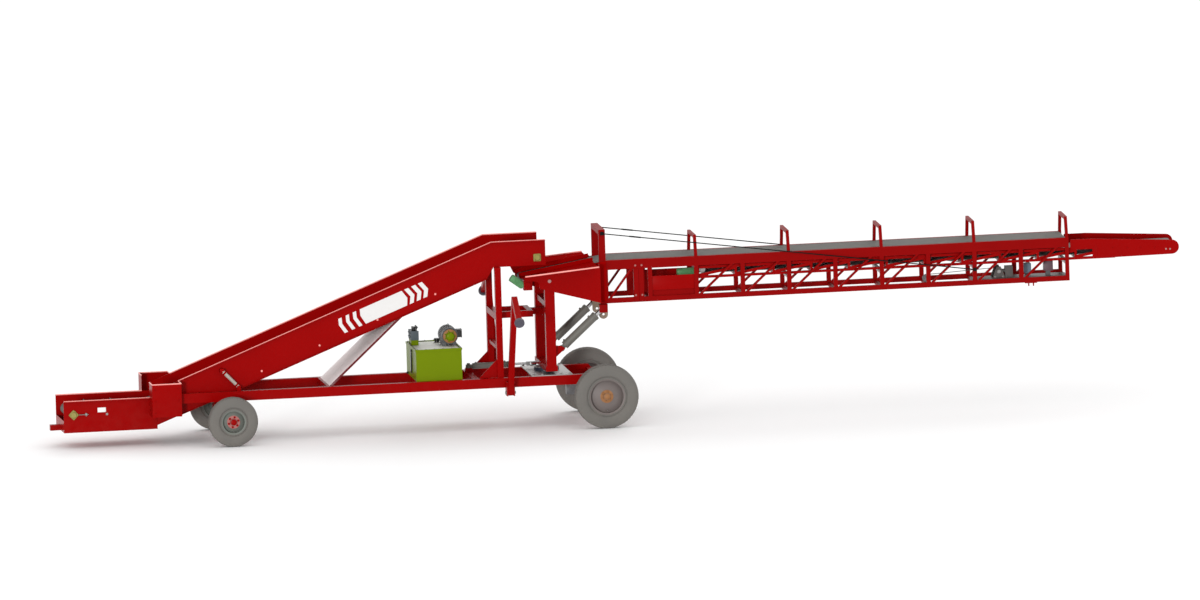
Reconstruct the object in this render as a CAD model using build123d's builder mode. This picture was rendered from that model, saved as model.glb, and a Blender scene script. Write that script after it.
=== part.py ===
"""Potato stacker: swan-neck belt elevator feeding a slewing, luffing, telescopic belt boom."""
import os
from math import atan2, cos, degrees, hypot, radians, sin, tan

from build123d import *

os.makedirs("parts", exist_ok=True)

# Running gear: stations along X from the machine's mid-length, discharge end to +X
FRONT_AXLE_X = -5930
WHEELBASE = 5667
REAR_AXLE_X = FRONT_AXLE_X + WHEELBASE
TRACK = 1930
FRONT_TYRE_R = 373.5
FRONT_TYRE_WIDTH = 195
REAR_TYRE_R = 481.5
REAR_TYRE_WIDTH = 235
SPINDLE_R = 35
RUNNING_GAP = 0.05

# Chassis beams
BEAM_BOTTOM = 630
BEAM_TOP = 775
BEAM_INNER_Y = 500
BEAM_OUTER_Y = 580
BEAM_FRONT_X = FRONT_AXLE_X - 730
BEAM_REAR_X = REAR_AXLE_X + 63

# Slewing column and boom hinge
SLEW_X = REAR_AXLE_X - 757
HINGE_Z = 2208
POST_INNER_Y = 475
POST_OUTER_Y = 575
BASE_PLATE_T = 15
DISC_T = 50

# Elevator walls and belt line
INFEED_WALL_Y = 400
ELEVATOR_WALL_Y = 434
WALL_T = 6
INFEED_LEFT_X = FRONT_AXLE_X - 2483
INFEED_BOTTOM_Z = 245
INFEED_TOP_Z = 720
KNEE_CUT_X = FRONT_AXLE_X - 1065
KNEE_LOW_X = FRONT_AXLE_X - 1152
KNEE_HIGH_X = SLEW_X - 800
HEAD_RIGHT_X = SLEW_X - 28
HEAD_TOP_Z = 2820
HEAD_BOTTOM_Z = 2440
WALL_DEPTH = 488
BELT_HALF_WIDTH = 380
BELT_OUTER_R = 85
BELT_T = 8
TAIL_PULLEY = (FRONT_AXLE_X - 2334, 516)
HEAD_PULLEY = (SLEW_X - 156, 2557)
BELT_DEPTH = HEAD_TOP_Z - HEAD_PULLEY[1]
INCLINE = degrees(atan2(HEAD_PULLEY[1] - TAIL_PULLEY[1], KNEE_HIGH_X - KNEE_LOW_X))

# Boom
BOOM_INNER_Y = 340
BOOM_OUTER_Y = 385
BOOM_TOP_Z = 2450
BOOM_BOTTOM_Z = 1800
MAST_X = SLEW_X + 840
MAST_WIDTH = 100
TRUSS_X = SLEW_X + 852
BAY = 703.5
BAYS = 10
BOOM_LEFT_X = MAST_X + MAST_WIDTH / 2
BOOM_RIGHT_X = TRUSS_X + BAYS * BAY + 25

# Inner boom
INNER_SIDE_Y = 325
INNER_SIDE_T = 40
INNER_BOTTOM_Z = 2103
INNER_TOP_Z = 2290
INNER_LEFT_X = TRUSS_X + 1438
NOSE_X = TRUSS_X + 8630
NOSE_Z = 2226

# Lift and slew cylinders
LIFT_Y = 442
LIFT_LOW = (SLEW_X + 175, 1165)
LIFT_HIGH = (MAST_X - 35, 1725)
SLEW_CYL_Y = 250
SLEW_CYL_Z = 865
SLEW_PIVOT_X = SLEW_X - 1145
SLEW_PIN_X = SLEW_X - 150

# Outriggers
LEG_X = SLEW_X - 654
LEG_HALF_WIDTH = 42
LEG_Y = 680
LEG_PIN_Z = 566
LEG_LENGTH = 1660
LEG_LEAN = 25
ARM_LENGTH = 540
ARM_DROP = 33
FOLD_ANGLE = 65


def offset_line(points, distance):
    """A polyline moved sideways, to its left for a positive distance."""
    moved = []
    for i, (x, z) in enumerate(points):
        before = points[max(i - 1, 0)]
        after = points[min(i + 1, len(points) - 1)]
        a1 = atan2(z - before[1], x - before[0]) if i > 0 else None
        a2 = atan2(after[1] - z, after[0] - x) if i < len(points) - 1 else None
        a1 = a2 if a1 is None else a1
        a2 = a1 if a2 is None else a2
        mean = (a1 + a2) / 2
        reach = distance / cos((a2 - a1) / 2)
        moved.append((x - reach * sin(mean), z + reach * cos(mean)))
    return moved


def cut_corner(before, corner, after, reach=25):
    """Two points that flatten a polyline's corner."""
    cut = []
    for x, z in (before, after):
        span = hypot(x - corner[0], z - corner[1])
        cut.append((corner[0] + (x - corner[0]) * reach / span, corner[1] + (z - corner[1]) * reach / span))
    return cut


slope = tan(radians(INCLINE))
# Elevator centre line: level infeed, incline, level head
knee_top_x = KNEE_HIGH_X - BELT_DEPTH * tan(radians(INCLINE / 2))
belt_line = [TAIL_PULLEY, (KNEE_LOW_X, TAIL_PULLEY[1]), (KNEE_HIGH_X, HEAD_PULLEY[1]), HEAD_PULLEY]


def top_z(x):
    """Height of the elevator wall's top edge."""
    return min(HEAD_TOP_Z, HEAD_TOP_Z + (x - knee_top_x) * slope)


def bottom_z(x):
    """Height of the inclined wall's bottom edge."""
    return HEAD_TOP_Z + (x - knee_top_x) * slope - WALL_DEPTH / cos(radians(INCLINE))


# Chassis frame: beams, cross tubes, axle hangers, slew cylinder pedestal, outrigger ears
CROSS_TUBE = 100
PORTAL_X = SLEW_X - 770
TANK_LEFT_X = SLEW_X - 2051
TANK_LENGTH = 711
cross_tubes = {"brace": FRONT_AXLE_X + 0.275 * WHEELBASE, "tank_front": TANK_LEFT_X + 121,
               "tank_rear": TANK_LEFT_X + TANK_LENGTH - 120, "slew_cylinder": SLEW_PIVOT_X,
               "portal": PORTAL_X, "slew_front": SLEW_X - 230, "slew_rear": SLEW_X + 220}
with BuildPart() as chassis_frame:
    for side in (-1, 1):
        with BuildSketch(Plane.XZ.offset(-side * (BEAM_INNER_Y + BEAM_OUTER_Y) / 2)):
            with BuildLine():
                Polyline((BEAM_FRONT_X, BEAM_BOTTOM), (BEAM_REAR_X, BEAM_BOTTOM),
                         (BEAM_REAR_X - 110, BEAM_TOP), (BEAM_FRONT_X, BEAM_TOP), close=True)
            make_face()
        extrude(amount=(BEAM_OUTER_Y - BEAM_INNER_Y) / 2, both=True)
        # outrigger ears and pin
        for ear_x in (LEG_X - LEG_HALF_WIDTH - 10, LEG_X + LEG_HALF_WIDTH + 10):
            with Locations((ear_x, side * (BEAM_OUTER_Y + 80), (BEAM_TOP - 45 + 520) / 2)):
                Box(18, 160, BEAM_TOP - 45 - 520)
        with Locations(Location((LEG_X, side * LEG_Y, LEG_PIN_Z), (0, 90, 0))):
            Cylinder(20, 2 * LEG_HALF_WIDTH + 20)
        # elevator side brackets
        bracket_y = side * (ELEVATOR_WALL_Y + WALL_T + BEAM_INNER_Y) / 2
        with Locations((FRONT_AXLE_X - 270, bracket_y, BEAM_TOP - 45)):
            Box(220, BEAM_INNER_Y - ELEVATOR_WALL_Y - WALL_T, 70)
    for x in cross_tubes.values():
        with Locations((x, 0, BEAM_TOP - CROSS_TUBE / 2)):
            Box(CROSS_TUBE, 2 * BEAM_INNER_Y, CROSS_TUBE)
    with Locations((FRONT_AXLE_X, 0, BEAM_BOTTOM + 30)):
        Box(CROSS_TUBE, 2 * BEAM_INNER_Y, 60)
    with Locations((REAR_AXLE_X - 40, 0, BEAM_BOTTOM + 50)):
        Box(CROSS_TUBE, 2 * BEAM_INNER_Y, 100)
    with Locations((SLEW_PIVOT_X, SLEW_CYL_Y, (BEAM_TOP + SLEW_CYL_Z - 25.3) / 2)):
        Box(100, 100, SLEW_CYL_Z - 25.3 - BEAM_TOP)
    with Locations((SLEW_PIVOT_X, SLEW_CYL_Y, SLEW_CYL_Z)):
        Cylinder(20, 70)
chassis_frame.part.label = "chassis_frame"
export_step(chassis_frame.part, "parts/chassis_frame.step")

# Slewing base plate
with BuildPart() as slew_base:
    with Locations((SLEW_X, 0, BEAM_TOP + BASE_PLATE_T / 2)):
        Box(620, 2 * BEAM_OUTER_Y, BASE_PLATE_T)
slew_base.part.label = "slew_base"
export_step(slew_base.part, "parts/slew_base.step")

# Portal frame: posts under the elevator head, rungs, foot gussets, yoke with the column's upper bearing
PORTAL_Y = 475
PORTAL_WIDTH = 94
PORTAL_DEPTH = 90
YOKE_BOTTOM = 1645
YOKE_TOP = 1740
YOKE_Y = 270
YOKE_REACH = 260
with BuildPart() as portal_frame:
    for side in (-1, 1):
        with Locations((PORTAL_X, side * PORTAL_Y, (BEAM_TOP + HEAD_BOTTOM_Z) / 2)):
            Box(PORTAL_WIDTH, PORTAL_DEPTH, HEAD_BOTTOM_Z - BEAM_TOP)
        with BuildSketch(Plane.XZ.offset(-side * PORTAL_Y)):
            with BuildLine():
                Polyline((PORTAL_X, BEAM_TOP), (PORTAL_X - 310, BEAM_TOP), (PORTAL_X - 310, BEAM_TOP + 15),
                         (PORTAL_X - PORTAL_WIDTH / 2, BEAM_TOP + 275), (PORTAL_X, BEAM_TOP + 275),
                         close=True)
            make_face()
        extrude(amount=6, both=True)
        with Locations(((PORTAL_X + SLEW_X - 230) / 2, side * YOKE_Y, (YOKE_BOTTOM + YOKE_TOP) / 2)):
            Box(SLEW_X - 230 - PORTAL_X, 60, YOKE_TOP - YOKE_BOTTOM)
    with Locations((PORTAL_X, 0, (YOKE_BOTTOM + YOKE_TOP) / 2)):
        Box(PORTAL_WIDTH, 2 * PORTAL_Y, YOKE_TOP - YOKE_BOTTOM)
    with Locations((PORTAL_X, 0, BEAM_TOP + 440)):
        Box(60, 2 * PORTAL_Y, 50)
    with Locations((SLEW_X - YOKE_REACH, 0, (YOKE_BOTTOM + YOKE_TOP) / 2)):
        Box(80, 2 * YOKE_Y + 60, YOKE_TOP - YOKE_BOTTOM)
    with Locations((SLEW_X - YOKE_REACH / 2, 0, (YOKE_BOTTOM + YOKE_TOP) / 2)):
        Box(YOKE_REACH, 100, YOKE_TOP - YOKE_BOTTOM)
    with Locations((SLEW_X, 0, (YOKE_BOTTOM + YOKE_TOP) / 2)):
        Cylinder(75, YOKE_TOP - YOKE_BOTTOM)
    with Locations((SLEW_X, 0, (YOKE_BOTTOM + YOKE_TOP) / 2)):
        Cylinder(SPINDLE_R + RUNNING_GAP, YOKE_TOP - YOKE_BOTTOM + 20, mode=Mode.SUBTRACT)
portal_frame.part.label = "portal_frame"
export_step(portal_frame.part, "parts/portal_frame.step")

# Axles with their spindles
front_inner_y = TRACK / 2 - FRONT_TYRE_WIDTH / 2 - 20
with BuildPart() as front_axle:
    with Locations((FRONT_AXLE_X, 0, FRONT_TYRE_R)):
        Box(90, 2 * front_inner_y, 90)
    for side in (-1, 1):
        with Locations((FRONT_AXLE_X, side * 540, (FRONT_TYRE_R + BEAM_BOTTOM) / 2)):
            Box(120, 70, BEAM_BOTTOM - FRONT_TYRE_R)
    with Locations(Location((FRONT_AXLE_X, 0, FRONT_TYRE_R), (90, 0, 0))):
        Cylinder(SPINDLE_R, TRACK + 60)
front_axle.part.label = "front_axle"
export_step(front_axle.part, "parts/front_axle.step")

rear_inner_y = TRACK / 2 - REAR_TYRE_WIDTH / 2 - 20
with BuildPart() as rear_axle:
    with Locations(Location((REAR_AXLE_X, 0, REAR_TYRE_R), (90, 0, 0))):
        Cylinder(62, 2 * rear_inner_y)
    with Locations(Location((REAR_AXLE_X, 0, REAR_TYRE_R), (90, 0, 0))):
        Cylinder(SPINDLE_R, TRACK + 60)
    with Locations((REAR_AXLE_X, 0, REAR_TYRE_R)):
        Sphere(135)
    with Locations(Location((REAR_AXLE_X - 130, 0, REAR_TYRE_R), (0, 90, 0))):
        Cylinder(70, 240)
    for side in (-1, 1):
        with Locations((REAR_AXLE_X - 20, side * 540, (REAR_TYRE_R + BEAM_BOTTOM) / 2)):
            Box(150, 70, BEAM_BOTTOM - REAR_TYRE_R)
rear_axle.part.label = "rear_axle"
export_step(rear_axle.part, "parts/rear_axle.step")

with BuildPart() as drive_motor:
    with Locations(Location((REAR_AXLE_X - 250 - 100, 0, REAR_TYRE_R), (0, 90, 0))):
        Cylinder(85, 200)
    with Locations(Location((REAR_AXLE_X - 450 - 12, 0, REAR_TYRE_R), (0, 90, 0))):
        Cylinder(60, 24)
drive_motor.part.label = "drive_motor"
export_step(drive_motor.part, "parts/drive_motor.step")

# Wheels: one table row each
wheel_rows = [("front_right", FRONT_AXLE_X, -1, FRONT_TYRE_R, FRONT_TYRE_WIDTH, 0.50),
              ("front_left", FRONT_AXLE_X, 1, FRONT_TYRE_R, FRONT_TYRE_WIDTH, 0.50),
              ("rear_right", REAR_AXLE_X, -1, REAR_TYRE_R, REAR_TYRE_WIDTH, 0.56),
              ("rear_left", REAR_AXLE_X, 1, REAR_TYRE_R, REAR_TYRE_WIDTH, 0.56)]
for wheel_name, axle_x, side, tyre_r, tyre_w, rim_share in wheel_rows:
    rim_r = tyre_r * rim_share
    wheel_plane = Plane(origin=(axle_x, side * TRACK / 2, tyre_r), x_dir=(1, 0, 0), z_dir=(0, 0, 1))
    spin = Axis((axle_x, side * TRACK / 2, tyre_r), (0, 1, 0))
    with BuildPart() as tyre:
        with BuildSketch(wheel_plane):
            with BuildLine():
                Polyline((rim_r, -0.38 * tyre_w), (rim_r, 0.38 * tyre_w))
                Polyline((rim_r, 0.38 * tyre_w), (rim_r + 25, 0.44 * tyre_w))
                ThreePointArc((rim_r + 25, 0.44 * tyre_w), ((rim_r + tyre_r) / 2, 0.5 * tyre_w),
                              (tyre_r - 30, 0.45 * tyre_w))
                ThreePointArc((tyre_r - 30, 0.45 * tyre_w), (tyre_r - 9, 0.42 * tyre_w),
                              (tyre_r - 4, 0.37 * tyre_w))
                ThreePointArc((tyre_r - 4, 0.37 * tyre_w), (tyre_r, 0), (tyre_r - 4, -0.37 * tyre_w))
                ThreePointArc((tyre_r - 4, -0.37 * tyre_w), (tyre_r - 9, -0.42 * tyre_w),
                              (tyre_r - 30, -0.45 * tyre_w))
                ThreePointArc((tyre_r - 30, -0.45 * tyre_w), ((rim_r + tyre_r) / 2, -0.5 * tyre_w),
                              (rim_r + 25, -0.44 * tyre_w))
                Polyline((rim_r + 25, -0.44 * tyre_w), (rim_r, -0.38 * tyre_w))
            make_face()
        revolve(axis=spin)
    tyre.part.label = f"{wheel_name}_tyre"
    export_step(tyre.part, f"parts/{wheel_name}_tyre.step")
    with BuildPart() as rim:
        with BuildSketch(wheel_plane):
            bore = SPINDLE_R + RUNNING_GAP
            out = side
            with BuildLine():
                Polyline((bore, -out * 60), (bore, out * 75), (50, out * 75), (52, out * 46), (96, out * 46),
                         (0.62 * rim_r, out * 30), (rim_r - 22, out * 5), (rim_r - 22, out * 0.36 * tyre_w),
                         (rim_r, out * 0.38 * tyre_w), (rim_r, -out * 0.38 * tyre_w),
                         (rim_r - 12, -out * 0.38 * tyre_w),
                         (rim_r - 22, -out * 12), (0.62 * rim_r, out * 14), (70, out * 20), (70, -out * 60),
                         close=True)
            make_face()
        revolve(axis=spin)
    rim.part.label = f"{wheel_name}_rim"
    export_step(rim.part, f"parts/{wheel_name}_rim.step")

# Infeed walls, one each side, with an outward top flange that stops at the knee guard
FLANGE = 40
GUARD_LEFT_X = BEAM_FRONT_X - 445
for side_name, side in (("right", -1), ("left", 1)):
    with BuildPart() as infeed_wall:
        with BuildSketch(Plane.XZ.offset(-side * (INFEED_WALL_Y + WALL_T / 2))):
            with BuildLine():
                Polyline((INFEED_LEFT_X, INFEED_BOTTOM_Z), (KNEE_CUT_X, INFEED_BOTTOM_Z),
                         (KNEE_CUT_X, INFEED_TOP_Z), (INFEED_LEFT_X, INFEED_TOP_Z), close=True)
            make_face()
        extrude(amount=WALL_T / 2, both=True)
        flange_x = (INFEED_LEFT_X + GUARD_LEFT_X) / 2
        with Locations((flange_x, side * (INFEED_WALL_Y + FLANGE / 2 + 3), INFEED_TOP_Z - 3)):
            Box(GUARD_LEFT_X - INFEED_LEFT_X, FLANGE + 6, 6)
    infeed_wall.part.label = f"infeed_wall_{side_name}"
    export_step(infeed_wall.part, f"parts/infeed_wall_{side_name}.step")

# Infeed pan with its end plate and the drawbar stub
HITCH_X = INFEED_LEFT_X - 117
with BuildPart() as infeed_pan:
    with Locations(((INFEED_LEFT_X + KNEE_CUT_X) / 2, 0, INFEED_BOTTOM_Z + 3)):
        Box(KNEE_CUT_X - INFEED_LEFT_X, 2 * INFEED_WALL_Y, 6)
    with Locations((INFEED_LEFT_X + 3, 0, INFEED_BOTTOM_Z + 90)):
        Box(6, 2 * INFEED_WALL_Y, 180)
    with Locations(((HITCH_X - 38 + INFEED_LEFT_X + 3) / 2, 0, INFEED_BOTTOM_Z + 42)):
        Box(INFEED_LEFT_X + 3 - HITCH_X + 38, 90, 84)
    with Locations((HITCH_X, 0, INFEED_BOTTOM_Z + 42)):
        Cylinder(16, 100, mode=Mode.SUBTRACT)
infeed_pan.part.label = "infeed_pan"
export_step(infeed_pan.part, "parts/infeed_pan.step")

# Knee guards: open-topped boxes that join infeed, elevator and beams
GUARD_BOTTOM = 455
GUARD_TOP = 950
GUARD_Y = 700
guard_z = (GUARD_BOTTOM + GUARD_TOP) / 2
with BuildPart() as knee_guards:
    for side in (-1, 1):
        with Locations(((GUARD_LEFT_X + BEAM_FRONT_X) / 2, side * (GUARD_Y - 3), guard_z)):
            Box(BEAM_FRONT_X - GUARD_LEFT_X, 6, GUARD_TOP - GUARD_BOTTOM)
        front_y0 = INFEED_WALL_Y + WALL_T
        with Locations((GUARD_LEFT_X + 3, side * (front_y0 + GUARD_Y) / 2, guard_z)):
            Box(6, GUARD_Y - front_y0, GUARD_TOP - GUARD_BOTTOM)
        rear_y0 = ELEVATOR_WALL_Y + WALL_T
        with Locations((BEAM_FRONT_X - 3, side * (rear_y0 + GUARD_Y) / 2, guard_z)):
            Box(6, GUARD_Y - rear_y0, GUARD_TOP - GUARD_BOTTOM)
        with Locations(((GUARD_LEFT_X + BEAM_FRONT_X) / 2, side * (rear_y0 + GUARD_Y) / 2, GUARD_BOTTOM + 3)):
            Box(BEAM_FRONT_X - GUARD_LEFT_X, GUARD_Y - rear_y0, 6)
knee_guards.part.label = "knee_guards"
export_step(knee_guards.part, "parts/knee_guards.step")

# Elevator walls with outward flanges along both edges
wall_steep_x = PORTAL_X - PORTAL_WIDTH / 2 - 3
edge_top = [(BEAM_FRONT_X, top_z(BEAM_FRONT_X)), (knee_top_x, HEAD_TOP_Z), (HEAD_RIGHT_X, HEAD_TOP_Z)]
edge_low = [(BEAM_FRONT_X, bottom_z(BEAM_FRONT_X)), (wall_steep_x - 110, bottom_z(wall_steep_x - 110))]
for side_name, side in (("right", -1), ("left", 1)):
    with BuildPart() as elevator_wall:
        with BuildSketch(Plane.XZ.offset(-side * (ELEVATOR_WALL_Y + WALL_T / 2))):
            with BuildLine():
                Polyline((KNEE_CUT_X, bottom_z(KNEE_CUT_X)), edge_low[1], (wall_steep_x, HEAD_BOTTOM_Z),
                         (HEAD_RIGHT_X, HEAD_BOTTOM_Z), (HEAD_RIGHT_X, HEAD_TOP_Z), (knee_top_x, HEAD_TOP_Z),
                         (KNEE_CUT_X, top_z(KNEE_CUT_X)), close=True)
            make_face()
        extrude(amount=WALL_T / 2, both=True)
        with BuildSketch(Plane.XZ.offset(-side * (ELEVATOR_WALL_Y + WALL_T / 2 + FLANGE / 2))):
            with BuildLine():
                Polyline(*edge_top, *reversed(offset_line(edge_top, -6)), close=True)
            make_face()
            with BuildLine():
                Polyline(*edge_low, *reversed(offset_line(edge_low, 6)), close=True)
            make_face()
        extrude(amount=FLANGE / 2 + 3, both=True)
    elevator_wall.part.label = f"elevator_wall_{side_name}"
    export_step(elevator_wall.part, f"parts/elevator_wall_{side_name}.step")

# Elevator bed: slider plate with cross tubes inside the belt loop
inner_r = BELT_OUTER_R - BELT_T
bed_line = [(TAIL_PULLEY[0] + 95, TAIL_PULLEY[1]), belt_line[1],
            *cut_corner(belt_line[1], belt_line[2], HEAD_PULLEY), (HEAD_PULLEY[0] - 95, HEAD_PULLEY[1])]
with BuildPart() as elevator_bed:
    with BuildSketch(Plane.XZ):
        with BuildLine():
            Polyline(*offset_line(bed_line, inner_r), *reversed(offset_line(bed_line, inner_r - 6)),
                     close=True)
        make_face()
    extrude(amount=INFEED_WALL_Y, both=True)
    for i in range(6):
        share = 0.08 + 0.168 * i
        tube_x = belt_line[1][0] + share * (belt_line[2][0] - belt_line[1][0])
        tube_z = belt_line[1][1] + share * (belt_line[2][1] - belt_line[1][1])
        with Locations(Location((tube_x, 0, tube_z), (0, -INCLINE, 0))):
            with Locations((0, 0, inner_r - 6 - 30)):
                Box(60, 2 * ELEVATOR_WALL_Y, 62)
    with Locations((SLEW_X - 480, 0, HEAD_PULLEY[1] + inner_r - 36)):
        Box(60, 2 * ELEVATOR_WALL_Y, 62)
elevator_bed.part.label = "elevator_bed"
export_step(elevator_bed.part, "parts/elevator_bed.step")

# Elevator belt: one fixed loop with cleats on both runs
CLEAT_HEIGHT = 40
CLEAT_PITCH = 420
with BuildPart() as elevator_belt:
    with BuildSketch(Plane.XZ):
        for r, mode in ((BELT_OUTER_R, Mode.ADD), (inner_r, Mode.SUBTRACT)):
            for (x0, z0), (x1, z1) in zip(belt_line[:-1], belt_line[1:]):
                with Locations(((x0 + x1) / 2, (z0 + z1) / 2)):
                    SlotCenterToCenter(hypot(x1 - x0, z1 - z0), 2 * r,
                                       rotation=degrees(atan2(z1 - z0, x1 - x0)), mode=mode)
        for i in range(11):
            share = 0.06 + i * 0.085
            cleat_x = belt_line[1][0] + share * (belt_line[2][0] - belt_line[1][0])
            cleat_z = belt_line[1][1] + share * (belt_line[2][1] - belt_line[1][1])
            lift = BELT_OUTER_R + CLEAT_HEIGHT / 2 - 2
            with Locations((cleat_x - lift * sin(radians(INCLINE)), cleat_z + lift * cos(radians(INCLINE)))):
                Rectangle(14, CLEAT_HEIGHT + 4, rotation=INCLINE)
        for cleat_x in (TAIL_PULLEY[0] + 264, TAIL_PULLEY[0] + 664):
            with Locations((cleat_x, TAIL_PULLEY[1] + BELT_OUTER_R + CLEAT_HEIGHT / 2 - 2)):
                Rectangle(14, CLEAT_HEIGHT + 4)
    extrude(amount=BELT_HALF_WIDTH, both=True)
elevator_belt.part.label = "elevator_belt"
export_step(elevator_belt.part, "parts/elevator_belt.step")

# Elevator pulleys and return idlers
IDLER_R = 30
with BuildPart() as elevator_pulleys:
    for (x, z), reach in ((TAIL_PULLEY, INFEED_WALL_Y), (HEAD_PULLEY, ELEVATOR_WALL_Y)):
        with Locations(Location((x, 0, z), (90, 0, 0))):
            Cylinder(inner_r - 0.3, 2 * BELT_HALF_WIDTH)
            Cylinder(22, 2 * reach)
    for i in range(4):
        idler_x = KNEE_LOW_X + (0.312 + 0.16876 * i) * (KNEE_HIGH_X - KNEE_LOW_X)
        idler_z = belt_line[1][1] + (idler_x - belt_line[1][0]) * slope
        drop = BELT_OUTER_R + IDLER_R + 0.3
        idler_at = (idler_x + drop * sin(radians(INCLINE)), 0, idler_z - drop * cos(radians(INCLINE)))
        with Locations(Location(idler_at, (90, 0, 0))):
            Cylinder(IDLER_R, 2 * BELT_HALF_WIDTH)
            Cylinder(12, 2 * ELEVATOR_WALL_Y)
elevator_pulleys.part.label = "elevator_pulleys"
export_step(elevator_pulleys.part, "parts/elevator_pulleys.step")

# Flange bearings on the wall faces
bearing_rows = [(TAIL_PULLEY, -1, INFEED_WALL_Y + WALL_T, 45), (TAIL_PULLEY, 1, INFEED_WALL_Y + WALL_T, 45),
                (HEAD_PULLEY, -1, ELEVATOR_WALL_Y + WALL_T, 0)]
with BuildPart() as flange_bearings:
    for (x, z), side, face_y, turn in bearing_rows:
        with Locations(Location((x, side * (face_y + 8), z), (0, turn, 0))):
            Box(115, 16, 115)
        with Locations(Location((x, side * (face_y + 18), z), (90, 0, 0))):
            Cylinder(40, 36)
flange_bearings.part.label = "flange_bearings"
export_step(flange_bearings.part, "parts/flange_bearings.step")

# Elevator gear motor on the left end of the head shaft
with BuildPart() as elevator_drive:
    with Locations((HEAD_PULLEY[0], ELEVATOR_WALL_Y + WALL_T + 70, HEAD_PULLEY[1] + 10)):
        Box(170, 140, 170)
    with Locations(Location((HEAD_PULLEY[0] - 85 - 140, ELEVATOR_WALL_Y + WALL_T + 70, HEAD_PULLEY[1] + 10),
                            (0, 90, 0))):
        Cylinder(65, 280)
elevator_drive.part.label = "elevator_drive"
export_step(elevator_drive.part, "parts/elevator_drive.step")

# Diagonal brace: a wide plate with folded side lips, from the chassis to the elevator's lower flanges
BRACE_DEPTH = 32
BRACE_T = 8
BRACE_HALF_WIDTH = ELEVATOR_WALL_Y + 26
brace_dir = radians(42.2)
brace_foot = (cross_tubes["brace"] - 30, BEAM_TOP - 40)
brace_run = (bottom_z(brace_foot[0]) - brace_foot[1]) / (sin(brace_dir) - cos(brace_dir) * slope) + 150
brace_head = (brace_foot[0] + brace_run * cos(brace_dir), brace_foot[1] + brace_run * sin(brace_dir))
brace_line = [brace_foot, brace_head]
wide = [BEAM_FRONT_X, BEAM_REAR_X]
with BuildPart() as elevator_brace:
    with BuildSketch(Plane.XZ):
        with BuildLine():
            Polyline(*offset_line(brace_line, BRACE_DEPTH / 2),
                     *reversed(offset_line(brace_line, -BRACE_DEPTH / 2)), close=True)
        make_face()
        with BuildLine():
            Polyline((wide[0], BEAM_TOP), (wide[0], 0), (wide[1], 0), (wide[1], BEAM_TOP), close=True)
        make_face(mode=Mode.SUBTRACT)
        with BuildLine():
            Polyline((wide[0], bottom_z(wide[0])), (wide[1], bottom_z(wide[1])), (wide[1], 2 * HEAD_TOP_Z),
                     (wide[0], 2 * HEAD_TOP_Z), close=True)
        make_face(mode=Mode.SUBTRACT)
    extrude(amount=BRACE_HALF_WIDTH, both=True)
    # hollow underside between the lips
    with BuildSketch(Plane.XZ):
        with BuildLine():
            Polyline(*offset_line(brace_line, BRACE_DEPTH / 2 - BRACE_T),
                     *reversed(offset_line(brace_line, -BRACE_DEPTH)), close=True)
        make_face()
    extrude(amount=BRACE_HALF_WIDTH - BRACE_T, both=True, mode=Mode.SUBTRACT)
elevator_brace.part.label = "elevator_brace"
export_step(elevator_brace.part, "parts/elevator_brace.step")

# Tie rods between the elevator's foot and the beams
tie_top = (FRONT_AXLE_X - 79, 1089)
tie_low = (FRONT_AXLE_X + 165, 830)
with BuildPart() as infeed_ties:
    for side in (-1, 1):
        tie_y = side * 515
        length = hypot(tie_low[0] - tie_top[0], tie_low[1] - tie_top[1])
        angle = degrees(atan2(tie_low[1] - tie_top[1], tie_low[0] - tie_top[0]))
        with Locations(Location(((tie_top[0] + tie_low[0]) / 2, tie_y, (tie_top[1] + tie_low[1]) / 2),
                                (0, 90 - angle, 0))):
            Cylinder(25, length)
        wall_face = ELEVATOR_WALL_Y + WALL_T
        with Locations((tie_top[0], side * (wall_face + 515 + 25) / 2, tie_top[1])):
            Box(60, 515 + 25 - wall_face, 60)
        with Locations((tie_low[0], tie_y, (BEAM_TOP + tie_low[1] + 25) / 2)):
            Box(60, 50, tie_low[1] + 25 - BEAM_TOP)
infeed_ties.part.label = "infeed_ties"
export_step(infeed_ties.part, "parts/infeed_ties.step")

# Hydraulic tank, pump motor and valve bank
TANK_WIDTH = 1000
TANK_TOP = 1224
LID_T = 14
LID_RIM = 16
tank_x = TANK_LEFT_X + TANK_LENGTH / 2
with BuildPart() as hydraulic_tank:
    with Locations((tank_x, 0, (BEAM_TOP + TANK_TOP) / 2)):
        Box(TANK_LENGTH - 16, TANK_WIDTH - 16, TANK_TOP - BEAM_TOP)
    with Locations((tank_x, 0, TANK_TOP + (LID_T + LID_RIM) / 2)):
        Box(TANK_LENGTH, TANK_WIDTH, LID_T + LID_RIM)
    with Locations((tank_x, 0, TANK_TOP + LID_T + LID_RIM / 2)):
        Box(TANK_LENGTH - 44, TANK_WIDTH - 44, LID_RIM, mode=Mode.SUBTRACT)
hydraulic_tank.part.label = "hydraulic_tank"
export_step(hydraulic_tank.part, "parts/hydraulic_tank.step")

lid_top = TANK_TOP + LID_T
MOTOR_R = 136
motor_z = lid_top + 15 + MOTOR_R
motor_x = TANK_LEFT_X + 581
with BuildPart() as pump_motor:
    with Locations(Location((motor_x, 40, motor_z), (90, 0, 0))):
        Cylinder(MOTOR_R, 320)
    with Locations(Location((motor_x, -140, motor_z), (90, 0, 0))):
        Cylinder(95, 40)
    with Locations(Location((motor_x, -190, motor_z), (90, 0, 0))):
        Cylinder(58, 60)
    for foot in (-1, 1):
        with Locations((motor_x + foot * 74, 40, (lid_top + motor_z) / 2)):
            Box(60, 200, motor_z - lid_top)
    with Locations((motor_x + MOTOR_R + 20, 30, motor_z + 20)):
        Box(76, 120, 120)
pump_motor.part.label = "pump_motor"
export_step(pump_motor.part, "parts/pump_motor.step")

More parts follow.
